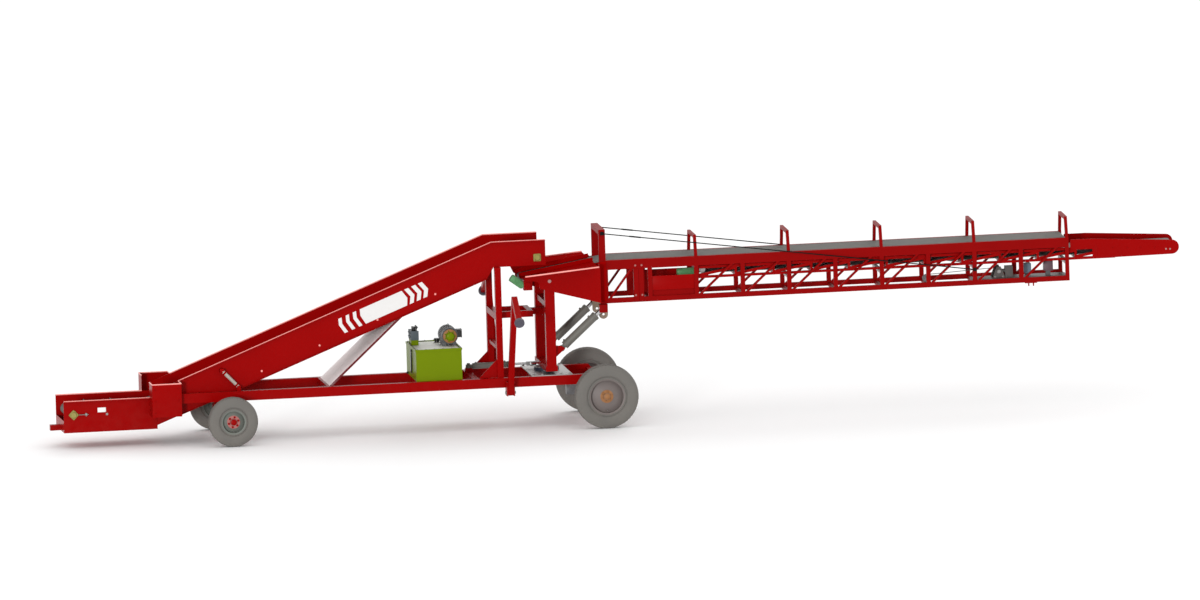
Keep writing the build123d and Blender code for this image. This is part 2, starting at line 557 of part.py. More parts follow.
with BuildPart() as valve_bank:
    with Locations((TANK_LEFT_X + 86, 0.23 * TANK_WIDTH, lid_top + 110)):
        Box(120, 260, 220)
    with Locations((TANK_LEFT_X + 86, 0.18 * TANK_WIDTH, lid_top + 220 + 35)):
        Cylinder(35, 70)
valve_bank.part.label = "valve_bank"
export_step(valve_bank.part, "parts/valve_bank.step")

# Turntable disc on the base plate
disc_bottom = BEAM_TOP + BASE_PLATE_T
with BuildPart() as turntable:
    with Locations((SLEW_X, 0, disc_bottom + 0.3 + DISC_T / 2)):
        Cylinder(187.5, DISC_T)
turntable.part.label = "turntable"
export_step(turntable.part, "parts/turntable.step")

# Slewing column: bolster, two round-topped posts, rungs, boom pins, cylinder brackets, slew lever
bolster_bottom = disc_bottom + 0.3 + DISC_T
BOLSTER_H = 80
POST_WIDTH = 147
BOOM_PIN_R = 30
TAIL_PLATE_T = 12
LIFT_PIN_R = 25
LEVER_T = 20
with BuildPart() as slew_column:
    with Locations((SLEW_X, 0, bolster_bottom + BOLSTER_H / 2)):
        Box(180, 2 * POST_OUTER_Y, BOLSTER_H)
    for side in (-1, 1):
        with BuildSketch(Plane.XZ.offset(-side * (POST_INNER_Y + POST_OUTER_Y) / 2)):
            with Locations((SLEW_X, (bolster_bottom + HINGE_Z) / 2)):
                Rectangle(POST_WIDTH, HINGE_Z - bolster_bottom)
            with Locations((SLEW_X, HINGE_Z)):
                Circle(POST_WIDTH / 2)
        extrude(amount=(POST_OUTER_Y - POST_INNER_Y) / 2, both=True)
        plate_face = BOOM_OUTER_Y + TAIL_PLATE_T
        with Locations(Location((SLEW_X, side * (POST_INNER_Y + plate_face) / 2, HINGE_Z), (90, 0, 0))):
            Cylinder(48, POST_INNER_Y - plate_face - 0.6)
        pin_y = side * (POST_INNER_Y + 10 + BOOM_OUTER_Y - 30) / 2
        with Locations(Location((SLEW_X, pin_y, HINGE_Z), (90, 0, 0))):
            Cylinder(BOOM_PIN_R, POST_INNER_Y + 10 - BOOM_OUTER_Y + 30)
        # lift cylinder bracket on the post's front face, with its pin pointing inwards
        with BuildSketch(Plane.XZ.offset(-side * (POST_INNER_Y + 10))):
            with BuildLine():
                Polyline((SLEW_X, LIFT_LOW[1] + 64), (LIFT_LOW[0], LIFT_LOW[1] + 40),
                         (LIFT_LOW[0] + 50, LIFT_LOW[1]), (SLEW_X, LIFT_LOW[1] - 190), close=True)
            make_face()
        extrude(amount=9, both=True)
        low_pin_y = side * (LIFT_Y - 30 + POST_INNER_Y + 10) / 2
        with Locations(Location((LIFT_LOW[0], low_pin_y, LIFT_LOW[1]), (90, 0, 0))):
            Cylinder(LIFT_PIN_R, POST_INNER_Y + 10 - LIFT_Y + 30)
    rung_bottom = YOKE_TOP + 60
    with Locations((SLEW_X, 0, rung_bottom + 40)):
        Box(100, 2 * POST_INNER_Y, 80)
    with Locations((SLEW_X, 0, (rung_bottom + YOKE_BOTTOM - 20) / 2)):
        Cylinder(SPINDLE_R, rung_bottom - YOKE_BOTTOM + 20)
    with BuildSketch(Plane.XY.offset(SLEW_CYL_Z - LEVER_T / 2)):
        with Locations(((SLEW_X + SLEW_PIN_X) / 2, SLEW_CYL_Y)):
            Rectangle(SLEW_X - SLEW_PIN_X, 90)
        with Locations((SLEW_PIN_X, SLEW_CYL_Y)):
            Circle(45)
    extrude(amount=LEVER_T)
slew_column.part.label = "slew_column"
export_step(slew_column.part, "parts/slew_column.step")

# Lift cylinders: barrels on the column, rods on the boom's mast foot
lift_length = hypot(LIFT_HIGH[0] - LIFT_LOW[0], LIFT_HIGH[1] - LIFT_LOW[1])
lift_angle = degrees(atan2(LIFT_HIGH[1] - LIFT_LOW[1], LIFT_HIGH[0] - LIFT_LOW[0]))
BARREL_R = 62
BARREL_END = 715
ROD_R = 30
EYE_HALF = 26
with BuildPart() as lift_barrels:
    for side in (-1, 1):
        at_low = Location((LIFT_LOW[0], side * LIFT_Y, LIFT_LOW[1]), (0, 90 - lift_angle, 0))
        with Locations(at_low):
            with Locations((0, 0, (60 + BARREL_END) / 2)):
                Cylinder(BARREL_R, BARREL_END - 60)
            with Locations(Location((0, 0, 0), (90, 0, 0))):
                Cylinder(46, 2 * EYE_HALF)
            with Locations((0, 0, 40)):
                Box(60, 2 * EYE_HALF, 80)
            with Locations((0, 0, (120 + BARREL_END) / 2)):
                Cylinder(ROD_R + 0.3, BARREL_END - 120, mode=Mode.SUBTRACT)
            with Locations(Location((0, 0, 0), (90, 0, 0))):
                Cylinder(LIFT_PIN_R + RUNNING_GAP, 4 * EYE_HALF, mode=Mode.SUBTRACT)
lift_barrels.part.label = "lift_barrels"
export_step(lift_barrels.part, "parts/lift_barrels.step")

LIFT_EYE_BORE = 34
with BuildPart() as lift_rods:
    for side in (-1, 1):
        at_low = Location((LIFT_LOW[0], side * LIFT_Y, LIFT_LOW[1]), (0, 90 - lift_angle, 0))
        with Locations(at_low):
            with Locations((0, 0, (130 + lift_length - 30) / 2)):
                Cylinder(ROD_R, lift_length - 30 - 130)
            with Locations(Location((0, 0, lift_length), (90, 0, 0))):
                Cylinder(50, 2 * EYE_HALF)
            with Locations(Location((0, 0, lift_length), (90, 0, 0))):
                Cylinder(LIFT_EYE_BORE, 4 * EYE_HALF, mode=Mode.SUBTRACT)
lift_rods.part.label = "lift_rods"
export_step(lift_rods.part, "parts/lift_rods.step")

# Slew cylinder
slew_length = SLEW_PIN_X - SLEW_PIVOT_X
with BuildPart() as slew_barrel:
    with Locations((SLEW_PIVOT_X, SLEW_CYL_Y, SLEW_CYL_Z)):
        Cylinder(42, 50)
    with Locations((SLEW_PIVOT_X + 45, SLEW_CYL_Y, SLEW_CYL_Z)):
        Box(60, 70, 50)
    with Locations(Location((SLEW_PIVOT_X + 60 + 280, SLEW_CYL_Y, SLEW_CYL_Z), (0, 90, 0))):
        Cylinder(45, 560)
    with Locations(Location((SLEW_PIVOT_X + 80 + 280, SLEW_CYL_Y, SLEW_CYL_Z), (0, 90, 0))):
        Cylinder(20.3, 560, mode=Mode.SUBTRACT)
    with Locations((SLEW_PIVOT_X, SLEW_CYL_Y, SLEW_CYL_Z)):
        Cylinder(20 + RUNNING_GAP, 120, mode=Mode.SUBTRACT)
slew_barrel.part.label = "slew_barrel"
export_step(slew_barrel.part, "parts/slew_barrel.step")

with BuildPart() as slew_rod:
    rod_x = SLEW_PIVOT_X + (320 + slew_length - 120) / 2
    with Locations(Location((rod_x, SLEW_CYL_Y, SLEW_CYL_Z), (0, 90, 0))):
        Cylinder(20, slew_length - 120 - 320)
    with Locations((SLEW_PIN_X - 90, SLEW_CYL_Y, SLEW_CYL_Z)):
        Box(60, 70, 60)
    for level in (-1, 1):
        with Locations((SLEW_PIN_X - 30, SLEW_CYL_Y, SLEW_CYL_Z + level * (LEVER_T / 2 + 6 + 7))):
            Box(120, 70, 14)
        with Locations((SLEW_PIN_X, SLEW_CYL_Y, SLEW_CYL_Z + level * (LEVER_T / 2 + 6 + 7))):
            Cylinder(35, 14)
slew_rod.part.label = "slew_rod"
export_step(slew_rod.part, "parts/slew_rod.step")

# Boom belt line: rising tail, level truss
BOOM_BELT_HALF = 320
BOOM_BELT_R = 53
boom_line = [(SLEW_X - 310, HINGE_Z - 13), (SLEW_X + 940, BOOM_TOP_Z - BOOM_BELT_R),
             (BOOM_RIGHT_X - 65, BOOM_TOP_Z - BOOM_BELT_R)]
tail_angle = atan2(boom_line[1][1] - boom_line[0][1], boom_line[1][0] - boom_line[0][0])

# Boom hopper: wedge-shaped tail plates with flared boards
TAIL_X = SLEW_X - 380
BOARD_LEFT_X = SLEW_X - 410
BOARD_RIGHT_X = SLEW_X + 715
BOARD_Y = 900
BOARD_T = 6


def belt_top(x):
    """Height of the boom belt's carrying face over its rising tail."""
    return boom_line[0][1] + (x - boom_line[0][0]) * tan(tail_angle) + BOOM_BELT_R / cos(tail_angle)


with BuildPart() as boom_hopper:
    for side in (-1, 1):
        with BuildSketch(Plane.XZ.offset(-side * (BOOM_OUTER_Y + TAIL_PLATE_T / 2))):
            with BuildLine():
                Polyline((SLEW_X - 332, HINGE_Z - 58), (SLEW_X + 774, BOOM_BOTTOM_Z + 40),
                         (BOOM_LEFT_X, BOOM_BOTTOM_Z + 30), (BOOM_LEFT_X, BOOM_TOP_Z - 10),
                         (BOARD_RIGHT_X, belt_top(BOARD_RIGHT_X) + 3), (TAIL_X, belt_top(TAIL_X) + 12),
                         (TAIL_X, HINGE_Z - 48), close=True)
            make_face()
            with Locations((SLEW_X, HINGE_Z)):
                Circle(BOOM_PIN_R + RUNNING_GAP, mode=Mode.SUBTRACT)
        extrude(amount=TAIL_PLATE_T / 2, both=True)
        for x, outer_z in ((BOARD_LEFT_X, HINGE_Z + 118), (BOARD_RIGHT_X, HINGE_Z + 212)):
            with BuildSketch(Plane.YZ.offset(x)):
                with BuildLine():
                    inner_z = belt_top(x) + 6
                    Polyline((side * 338, inner_z), (side * BOARD_Y, outer_z),
                             (side * BOARD_Y, outer_z - BOARD_T), (side * 338, inner_z - BOARD_T), close=True)
                make_face()
        loft(ruled=True)
boom_hopper.part.label = "boom_hopper"
export_step(boom_hopper.part, "parts/boom_hopper.step")

# Mast hoop with the lift pins, and lug plates on the inner faces of its feet
MAST_TOP = 2919
MAST_BOTTOM = 1673
with BuildPart() as mast_hoop:
    for side in (-1, 1):
        with Locations((MAST_X, side * (BOOM_INNER_Y + BOOM_OUTER_Y) / 2, (MAST_TOP + MAST_BOTTOM) / 2)):
            Box(MAST_WIDTH, BOOM_OUTER_Y - BOOM_INNER_Y, MAST_TOP - MAST_BOTTOM)
        with Locations(Location((LIFT_HIGH[0], side * (BOOM_OUTER_Y - 10 + LIFT_Y + 30) / 2, LIFT_HIGH[1]),
                                (90, 0, 0))):
            Cylinder(LIFT_PIN_R, LIFT_Y + 30 - BOOM_OUTER_Y + 10)
    with Locations((MAST_X, 0, MAST_TOP - 35)):
        Box(MAST_WIDTH, 2 * BOOM_INNER_Y, 70)
    with Locations((MAST_X, 0, BOOM_BOTTOM_Z + 30)):
        Box(MAST_WIDTH, 2 * BOOM_INNER_Y, 60)
mast_hoop.part.label = "mast_hoop"
export_step(mast_hoop.part, "parts/mast_hoop.step")

LUG_T = 16
LUG_HALF_WIDTH = 68
LUG_HOLE = (MAST_X, 1632)
with BuildPart() as mast_lugs:
    for side in (-1, 1):
        with BuildSketch(Plane.XZ.offset(-side * (BOOM_INNER_Y - LUG_T / 2))):
            with Locations((LUG_HOLE[0], (LUG_HOLE[1] + BOOM_BOTTOM_Z - 10) / 2)):
                Rectangle(2 * LUG_HALF_WIDTH, BOOM_BOTTOM_Z - 10 - LUG_HOLE[1])
            with Locations(LUG_HOLE):
                Circle(LUG_HALF_WIDTH)
                Circle(18, mode=Mode.SUBTRACT)
        extrude(amount=LUG_T / 2, both=True)
mast_lugs.part.label = "mast_lugs"
export_step(mast_lugs.part, "parts/mast_lugs.step")

# Boom truss sides: a lattice of tube, a bolted joint in the first bay, a low panel in the second
BAND_DEPTH = 145
CHORD = 75
UPRIGHT = 65
WEB = 30
WEB_START = 30
WEB_STOP = 130
JOINT_X = TRUSS_X + 454
JOINT_WIDTH = 154
PANEL_TOP = BOOM_BOTTOM_Z + 240
low = BOOM_BOTTOM_Z + CHORD
high = BOOM_TOP_Z - BAND_DEPTH
for side_name, side in (("right", -1), ("left", 1)):
    with BuildPart() as boom_side:
        with BuildSketch(Plane.XZ.offset(-side * (BOOM_INNER_Y + BOOM_OUTER_Y) / 2)):
            with Locations(((BOOM_LEFT_X + BOOM_RIGHT_X) / 2, (BOOM_BOTTOM_Z + BOOM_TOP_Z) / 2)):
                Rectangle(BOOM_RIGHT_X - BOOM_LEFT_X, BOOM_TOP_Z - BOOM_BOTTOM_Z)
            for bay in range(BAYS):
                x0 = TRUSS_X + bay * BAY + UPRIGHT / 2
                x1 = TRUSS_X + (bay + 1) * BAY - UPRIGHT / 2
                web_end = x1 - WEB_STOP
                if bay == 0:
                    gap_x = (JOINT_X + JOINT_WIDTH + x1) / 2
                    with Locations((gap_x, (low + high) / 2)):
                        Rectangle(x1 - JOINT_X - JOINT_WIDTH, high - low, mode=Mode.SUBTRACT)
                    x0 = BOOM_LEFT_X + 30
                    x1 = JOINT_X
                    web_end = x1 - 30
                if bay == 1:
                    with Locations(((x0 + x1) / 2, (low + high) / 2)):
                        Rectangle(x1 - x0, high - low, mode=Mode.SUBTRACT)
                    continue
                web_angle = atan2(high - low, web_end - x0 - WEB_START)
                half = WEB / 2 / sin(web_angle)
                with BuildLine():
                    Polyline((x0, low), (x0 + WEB_START - half, low), (web_end - half, high), (x0, high),
                             close=True)
                make_face(mode=Mode.SUBTRACT)
                with BuildLine():
                    Polyline((x0 + WEB_START + half, low), (x1, low), (x1, high), (web_end + half, high),
                             close=True)
                make_face(mode=Mode.SUBTRACT)
        extrude(amount=(BOOM_OUTER_Y - BOOM_INNER_Y) / 2, both=True)
        # low panel
        with Locations((TRUSS_X + 1.5 * BAY, side * (BOOM_INNER_Y + 15), (low + PANEL_TOP) / 2)):
            Box(BAY - UPRIGHT, 6, PANEL_TOP - low)
        # flange strips of the bolted joint
        for strip in (0.25, 0.75):
            strip_x = JOINT_X + strip * JOINT_WIDTH
            with Locations((strip_x, side * (BOOM_OUTER_Y + 4), (BOOM_BOTTOM_Z + high) / 2)):
                Box(JOINT_WIDTH / 2 - 5, 8, high - BOOM_BOTTOM_Z - 20)
        # stand bracket under the chord near the far end
        with Locations((TRUSS_X + 9.205 * BAY, side * (BOOM_INNER_Y + BOOM_OUTER_Y) / 2, BOOM_BOTTOM_Z - 6)):
            Box(180, BOOM_OUTER_Y - BOOM_INNER_Y, 12)
        for foot in (-36, 36):
            with Locations((TRUSS_X + 9.205 * BAY + foot, side * (BOOM_INNER_Y + BOOM_OUTER_Y) / 2,
                            BOOM_BOTTOM_Z - 12 - 22)):
                Box(14, BOOM_OUTER_Y - BOOM_INNER_Y, 44)
    boom_side.part.label = f"boom_side_{side_name}"
    export_step(boom_side.part, f"parts/boom_side_{side_name}.step")

# Boom bed under the belt, and cross ties along the bottom chords
boom_inner_r = BOOM_BELT_R - BELT_T
boom_bed_line = [(boom_line[0][0] + 70, boom_line[0][1] + 70 * tan(tail_angle)), *cut_corner(*boom_line),
                 (boom_line[2][0] - 70, boom_line[2][1])]
with BuildPart() as boom_bed:
    with BuildSketch(Plane.XZ):
        with BuildLine():
            Polyline(*offset_line(boom_bed_line, boom_inner_r),
                     *reversed(offset_line(boom_bed_line, boom_inner_r - 5)), close=True)
        make_face()
    extrude(amount=BOOM_INNER_Y, both=True)
    for tube_x in (SLEW_X - 130, SLEW_X + 420):
        tube_z = boom_line[0][1] + (tube_x - boom_line[0][0]) * tan(tail_angle)
        with Locations(Location((tube_x, 0, tube_z), (0, -degrees(tail_angle), 0))):
            with Locations((0, 0, boom_inner_r - 5 - 20)):
                Box(50, 2 * BOOM_OUTER_Y, 42)
boom_bed.part.label = "boom_bed"
export_step(boom_bed.part, "parts/boom_bed.step")

TIE = 45
with BuildPart() as boom_ties:
    for bay in range(1, BAYS + 1):
        with Locations((TRUSS_X + bay * BAY, 0, BOOM_BOTTOM_Z + TIE / 2)):
            Box(TIE, 2 * BOOM_INNER_Y, TIE)
boom_ties.part.label = "boom_ties"
export_step(boom_ties.part, "parts/boom_ties.step")

# Boom belt, its pulleys and the inner boom's support rollers
with BuildPart() as boom_belt:
    with BuildSketch(Plane.XZ):
        for r, mode in ((BOOM_BELT_R, Mode.ADD), (boom_inner_r, Mode.SUBTRACT)):
            for (x0, z0), (x1, z1) in zip(boom_line[:-1], boom_line[1:]):
                with Locations(((x0 + x1) / 2, (z0 + z1) / 2)):
                    SlotCenterToCenter(hypot(x1 - x0, z1 - z0), 2 * r,
                                       rotation=degrees(atan2(z1 - z0, x1 - x0)), mode=mode)
    extrude(amount=BOOM_BELT_HALF, both=True)
boom_belt.part.label = "boom_belt"
export_step(boom_belt.part, "parts/boom_belt.step")

SUPPORT_R = 35
with BuildPart() as boom_pulleys:
    for (x, z), reach in ((boom_line[0], BOOM_OUTER_Y), (boom_line[2], BOOM_INNER_Y)):
        with Locations(Location((x, 0, z), (90, 0, 0))):
            Cylinder(boom_inner_r - 0.3, 2 * BOOM_BELT_HALF)
            Cylinder(18, 2 * reach)
    for bay in (4, 6, 8, 10):
        with Locations(Location((TRUSS_X + bay * BAY, 0, INNER_BOTTOM_Z - 0.3 - SUPPORT_R), (90, 0, 0))):
            Cylinder(SUPPORT_R, 2 * INNER_SIDE_Y)
            Cylinder(14, 2 * BOOM_INNER_Y)
boom_pulleys.part.label = "boom_pulleys"
export_step(boom_pulleys.part, "parts/boom_pulleys.step")

# Hoops over the belt
HOOP_TOP = 2760
HOOP_TUBE = 45
with BuildPart() as boom_hoops:
    for hoop in range(1, 6):
        with BuildSketch(Plane.YZ.offset(TRUSS_X + hoop * 2 * BAY - HOOP_TUBE / 2)):
            with BuildLine():
                Polyline((-BOOM_OUTER_Y, BOOM_TOP_Z), (-300, HOOP_TOP), (300, HOOP_TOP),
                         (BOOM_OUTER_Y, BOOM_TOP_Z), (BOOM_OUTER_Y - HOOP_TUBE, BOOM_TOP_Z),
                         (300 - 38, HOOP_TOP - HOOP_TUBE), (-300 + 38, HOOP_TOP - HOOP_TUBE),
                         (-BOOM_OUTER_Y + HOOP_TUBE, BOOM_TOP_Z), close=True)
            make_face()
        extrude(amount=HOOP_TUBE)
boom_hoops.part.label = "boom_hoops"
export_step(boom_hoops.part, "parts/boom_hoops.step")

# Boom gearbox at the tail pulley, right side, and the motor flanged to it
GEARBOX = (130, 120, 160)
drive_y = -(BOOM_OUTER_Y + TAIL_PLATE_T + GEARBOX[1] / 2)
gearbox_at = (boom_line[0][0] - 5, drive_y, boom_line[0][1] - 40)
with BuildPart() as boom_gearbox:
    with Locations(gearbox_at):
        Box(*GEARBOX)
boom_gearbox.part.label = "boom_gearbox"
export_step(boom_gearbox.part, "parts/boom_gearbox.step")

with BuildPart() as boom_drive:
    with Locations(Location((boom_line[0][0] - 50, drive_y, boom_line[0][1] - 75), (0, -53, 0))):
        with Locations((0, 0, 130)):
            Cylinder(58, 260)
    with Locations(gearbox_at):
        Box(*GEARBOX, mode=Mode.SUBTRACT)
boom_drive.part.label = "boom_drive"
export_step(boom_drive.part, "parts/boom_drive.step")

# Telescope winch on a plate over the last ties: drum between tapered cheeks with its gear motor
WINCH_X = TRUSS_X + 8.57 * BAY
PLATE_T = 10
plate_top = BOOM_BOTTOM_Z + TIE + PLATE_T
with BuildPart() as boom_winch:
    with Locations((TRUSS_X + 9 * BAY, 0, plate_top - PLATE_T / 2)):
        Box(2 * BAY + TIE, 320, PLATE_T)
    with Locations(Location((WINCH_X, 0, plate_top + 100), (90, 0, 0))):
        Cylinder(50, 250)
    for cheek_y in (-120, 120):
        with BuildSketch(Plane.XZ.offset(-cheek_y)):
            with BuildLine():
                Polyline((WINCH_X - 95, plate_top), (WINCH_X + 95, plate_top),
                         (WINCH_X + 30, plate_top + 170), (WINCH_X - 30, plate_top + 170), close=True)
            make_face()
        extrude(amount=7, both=True)
    with Locations((WINCH_X + 152, -70, plate_top + 85)):
        Box(115, 120, 170)
    with Locations(Location((WINCH_X + 60, -70, plate_top + 100), (0, 90, 0))):
        Cylinder(30, 90)
boom_winch.part.label = "boom_winch"
export_step(boom_winch.part, "parts/boom_winch.step")

# Control boxes on the same plate: valve box and switch box, each on its foot
box_rows = [(TRUSS_X + 9.18 * BAY, 105, 125, 60, 140), (TRUSS_X + 9.63 * BAY, 133, 110, 80, 140)]
with BuildPart() as boom_boxes:
    for box_x, box_length, box_width, foot_height, box_height in box_rows:
        with Locations((box_x, -95, plate_top + foot_height / 2)):
            Box(0.5 * box_length, 0.6 * box_width, foot_height)
        with Locations((box_x, -95, plate_top + foot_height + box_height / 2)):
            Box(box_length, box_width, box_height)
boom_boxes.part.label = "boom_boxes"
export_step(boom_boxes.part, "parts/boom_boxes.step")

# Stays from the mast head to the lower truss
STAY_Y = 405
stay_a = (MAST_X, 2862)
stay_b = (TRUSS_X + 8 * BAY, 2040)
with BuildPart() as boom_stays:
    for side in (-1, 1):
        length = hypot(stay_b[0] - stay_a[0], stay_b[1] - stay_a[1])
        angle = degrees(atan2(stay_b[1] - stay_a[1], stay_b[0] - stay_a[0]))
        with Locations(Location(((stay_a[0] + stay_b[0]) / 2, side * STAY_Y, (stay_a[1] + stay_b[1]) / 2),
                                (0, 90 - angle, 0))):
            Cylinder(8, length)
        for x, z in (stay_a, stay_b):
            with Locations((x, side * (BOOM_OUTER_Y + STAY_Y + 12) / 2, z)):
                Box(50, STAY_Y + 12 - BOOM_OUTER_Y, 50)
boom_stays.part.label = "boom_stays"
export_step(boom_stays.part, "parts/boom_stays.step")

# Inner boom: lattice sides, cross ties and bed
INNER_BELT_HALF = 265
INNER_BELT_R = 54
inner_face = INNER_SIDE_Y - INNER_SIDE_T
INNER_SIDE_RIGHT = NOSE_X - 862
INNER_BAY = 573
with BuildPart() as inner_truss:
    for side in (-1, 1):
        with BuildSketch(Plane.XZ.offset(-side * (INNER_SIDE_Y - INNER_SIDE_T / 2))):
            with Locations(((INNER_LEFT_X + INNER_SIDE_RIGHT) / 2, (INNER_BOTTOM_Z + INNER_TOP_Z) / 2)):
                Rectangle(INNER_SIDE_RIGHT - INNER_LEFT_X, INNER_TOP_Z - INNER_BOTTOM_Z)
            low = INNER_BOTTOM_Z + 36
            high = INNER_TOP_Z - 40
            for bay in range(11):
                x0 = INNER_LEFT_X + 20 + bay * INNER_BAY
                x1 = x0 + INNER_BAY - 36
                with BuildLine():
                    Polyline((x0, low + 30), (x1 - 60, high), (x0, high), close=True)
                make_face(mode=Mode.SUBTRACT)
                with BuildLine():
                    Polyline((x0 + 60, low), (x1, high - 30), (x1, low), close=True)
                make_face(mode=Mode.SUBTRACT)
        extrude(amount=INNER_SIDE_T / 2, both=True)
    for bay in range(12):
        tie_x = INNER_LEFT_X + 16 + bay * INNER_BAY
        with Locations((tie_x, 0, INNER_BOTTOM_Z + 18)):
            Box(30, 2 * inner_face, 30)
    with Locations(((INNER_LEFT_X + 150 + NOSE_X - 80) / 2, 0, NOSE_Z + INNER_BELT_R - BELT_T - 2.5)):
        Box(NOSE_X - 80 - INNER_LEFT_X - 150, 2 * inner_face, 5)
    for tie_x in (NOSE_X - 662, NOSE_X - 212):
        with Locations((tie_x, 0, NOSE_Z + INNER_BELT_R - BELT_T - 5 - 15)):
            Box(50, 2 * INNER_SIDE_Y, 32)
inner_truss.part.label = "inner_truss"
export_step(inner_truss.part, "parts/inner_truss.step")

HEAD_LEFT_X = NOSE_X - 1206
HEAD_T = 6
NOSE_R = 107
with BuildPart() as inner_head:
    for side in (-1, 1):
        with BuildSketch(Plane.XZ.offset(-side * (INNER_SIDE_Y + HEAD_T / 2))):
            with BuildLine():
                Polyline((HEAD_LEFT_X, 2107), (NOSE_X, NOSE_Z - NOSE_R), (NOSE_X, NOSE_Z + NOSE_R),
                         (HEAD_LEFT_X, 2408), (BOOM_RIGHT_X + 30, 2408), (BOOM_RIGHT_X + 30, 2260),
                         (HEAD_LEFT_X, 2260), close=True)
            make_face()
            with Locations((NOSE_X, NOSE_Z)):
                Circle(NOSE_R)
        extrude(amount=HEAD_T / 2, both=True)
inner_head.part.label = "inner_head"
export_step(inner_head.part, "parts/inner_head.step")

inner_tail_x = INNER_LEFT_X + 75
with BuildPart() as inner_belt:
    with BuildSketch(Plane.XZ):
        with Locations(((inner_tail_x + NOSE_X) / 2, NOSE_Z)):
            SlotCenterToCenter(NOSE_X - inner_tail_x, 2 * INNER_BELT_R)
            SlotCenterToCenter(NOSE_X - inner_tail_x, 2 * (INNER_BELT_R - BELT_T), mode=Mode.SUBTRACT)
    extrude(amount=INNER_BELT_HALF, both=True)
inner_belt.part.label = "inner_belt"
export_step(inner_belt.part, "parts/inner_belt.step")

with BuildPart() as inner_pulleys:
    for x, reach in ((inner_tail_x, inner_face), (NOSE_X, INNER_SIDE_Y)):
        with Locations(Location((x, 0, NOSE_Z), (90, 0, 0))):
            Cylinder(INNER_BELT_R - BELT_T - 0.3, 2 * INNER_BELT_HALF)
            Cylinder(16, 2 * reach)
inner_pulleys.part.label = "inner_pulleys"
export_step(inner_pulleys.part, "parts/inner_pulleys.step")

with BuildPart() as inner_drive:
    with Locations((INNER_LEFT_X - 10, 0, (INNER_BOTTOM_Z + INNER_TOP_Z) / 2)):
        Box(20, 2 * INNER_SIDE_Y, INNER_TOP_Z - INNER_BOTTOM_Z)
    with Locations(Location((INNER_LEFT_X - 20 - 140, -200, 2195), (0, 90, 0))):
        Cylinder(60, 280)
inner_drive.part.label = "inner_drive"
export_step(inner_drive.part, "parts/inner_drive.step")

# Folding outriggers: a leg leaning out from the beam's pin, a foot arm, and a round foot that lands flat
LEG_DEPTH = 90
ARM_DEPTH = 80
PAD_R = 75
PAD_T = 40
lean = radians(LEG_LEAN)
drop = radians(ARM_DROP)
corner = (LEG_Y + LEG_LENGTH * sin(lean), LEG_PIN_Z + LEG_LENGTH * cos(lean))
foot_at = (corner[0] + ARM_LENGTH * cos(drop), corner[1] - ARM_LENGTH * sin(drop))
for side_name, side in (("right", -1), ("left", 1)):
    pad_place = Location((LEG_X, side * foot_at[0], foot_at[1]), (-side * (180 - FOLD_ANGLE), 0, 0))
    with BuildPart() as outrigger:
        with BuildSketch(Plane.YZ.offset(LEG_X)):
            with Locations((side * (LEG_Y + corner[0]) / 2, (LEG_PIN_Z + corner[1]) / 2)):
                Rectangle(LEG_DEPTH, LEG_LENGTH, rotation=-side * LEG_LEAN)
            for y, z in ((LEG_Y, LEG_PIN_Z), corner):
                with Locations((side * y, z)):
                    Circle(LEG_DEPTH / 2)
            with Locations((side * (corner[0] + foot_at[0]) / 2, (corner[1] + foot_at[1]) / 2)):
                Rectangle(ARM_LENGTH, ARM_DEPTH, rotation=-side * ARM_DROP)
            with Locations((side * LEG_Y, LEG_PIN_Z)):
                Circle(20 + RUNNING_GAP, mode=Mode.SUBTRACT)
        extrude(amount=LEG_HALF_WIDTH, both=True)
        with Locations(pad_place):
            Cylinder(PAD_R, PAD_T, mode=Mode.SUBTRACT)
    outrigger.part.label = f"outrigger_{side_name}"
    export_step(outrigger.part, f"parts/outrigger_{side_name}.step")
    with BuildPart() as outrigger_pad:
        with Locations(pad_place):
            Cylinder(PAD_R, PAD_T)
    outrigger_pad.part.label = f"outrigger_pad_{side_name}"
    export_step(outrigger_pad.part, f"parts/outrigger_pad_{side_name}.step")
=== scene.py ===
import math

import bmesh
import bpy
import numpy as np
from mathutils import Matrix, Vector


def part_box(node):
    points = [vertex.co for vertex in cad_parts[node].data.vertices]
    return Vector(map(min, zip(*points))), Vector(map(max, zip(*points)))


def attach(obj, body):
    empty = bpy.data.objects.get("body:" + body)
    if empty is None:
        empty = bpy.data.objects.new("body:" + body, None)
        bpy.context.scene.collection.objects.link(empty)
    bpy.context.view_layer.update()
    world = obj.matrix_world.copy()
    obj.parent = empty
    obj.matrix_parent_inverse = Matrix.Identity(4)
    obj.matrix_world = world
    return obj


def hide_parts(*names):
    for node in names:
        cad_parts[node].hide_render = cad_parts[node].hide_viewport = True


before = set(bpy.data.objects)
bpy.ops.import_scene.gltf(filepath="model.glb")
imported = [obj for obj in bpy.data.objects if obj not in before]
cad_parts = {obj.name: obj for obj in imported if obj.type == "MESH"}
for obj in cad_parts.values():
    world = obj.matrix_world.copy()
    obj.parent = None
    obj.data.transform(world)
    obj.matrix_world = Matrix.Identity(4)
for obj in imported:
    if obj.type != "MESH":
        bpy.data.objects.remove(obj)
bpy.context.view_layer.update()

# Camera: a long parallel view of the right side, from a little towards the infeed and a little above it,
# turned slightly on its own axis
VIEW_AZIMUTH = math.radians(-8.25)
VIEW_ELEVATION = math.radians(7.97)
VIEW_ROLL = math.radians(1.7)
VIEW_WIDTH = 18.0
VIEW_DISTANCE = 40.0
AIM = Vector((-0.178, 0.0, 1.803))
level_right = Vector((math.cos(VIEW_AZIMUTH), math.sin(VIEW_AZIMUTH), 0.0))
back = Vector((math.sin(VIEW_AZIMUTH) * math.cos(VIEW_ELEVATION),
               -math.cos(VIEW_AZIMUTH) * math.cos(VIEW_ELEVATION), math.sin(VIEW_ELEVATION)))
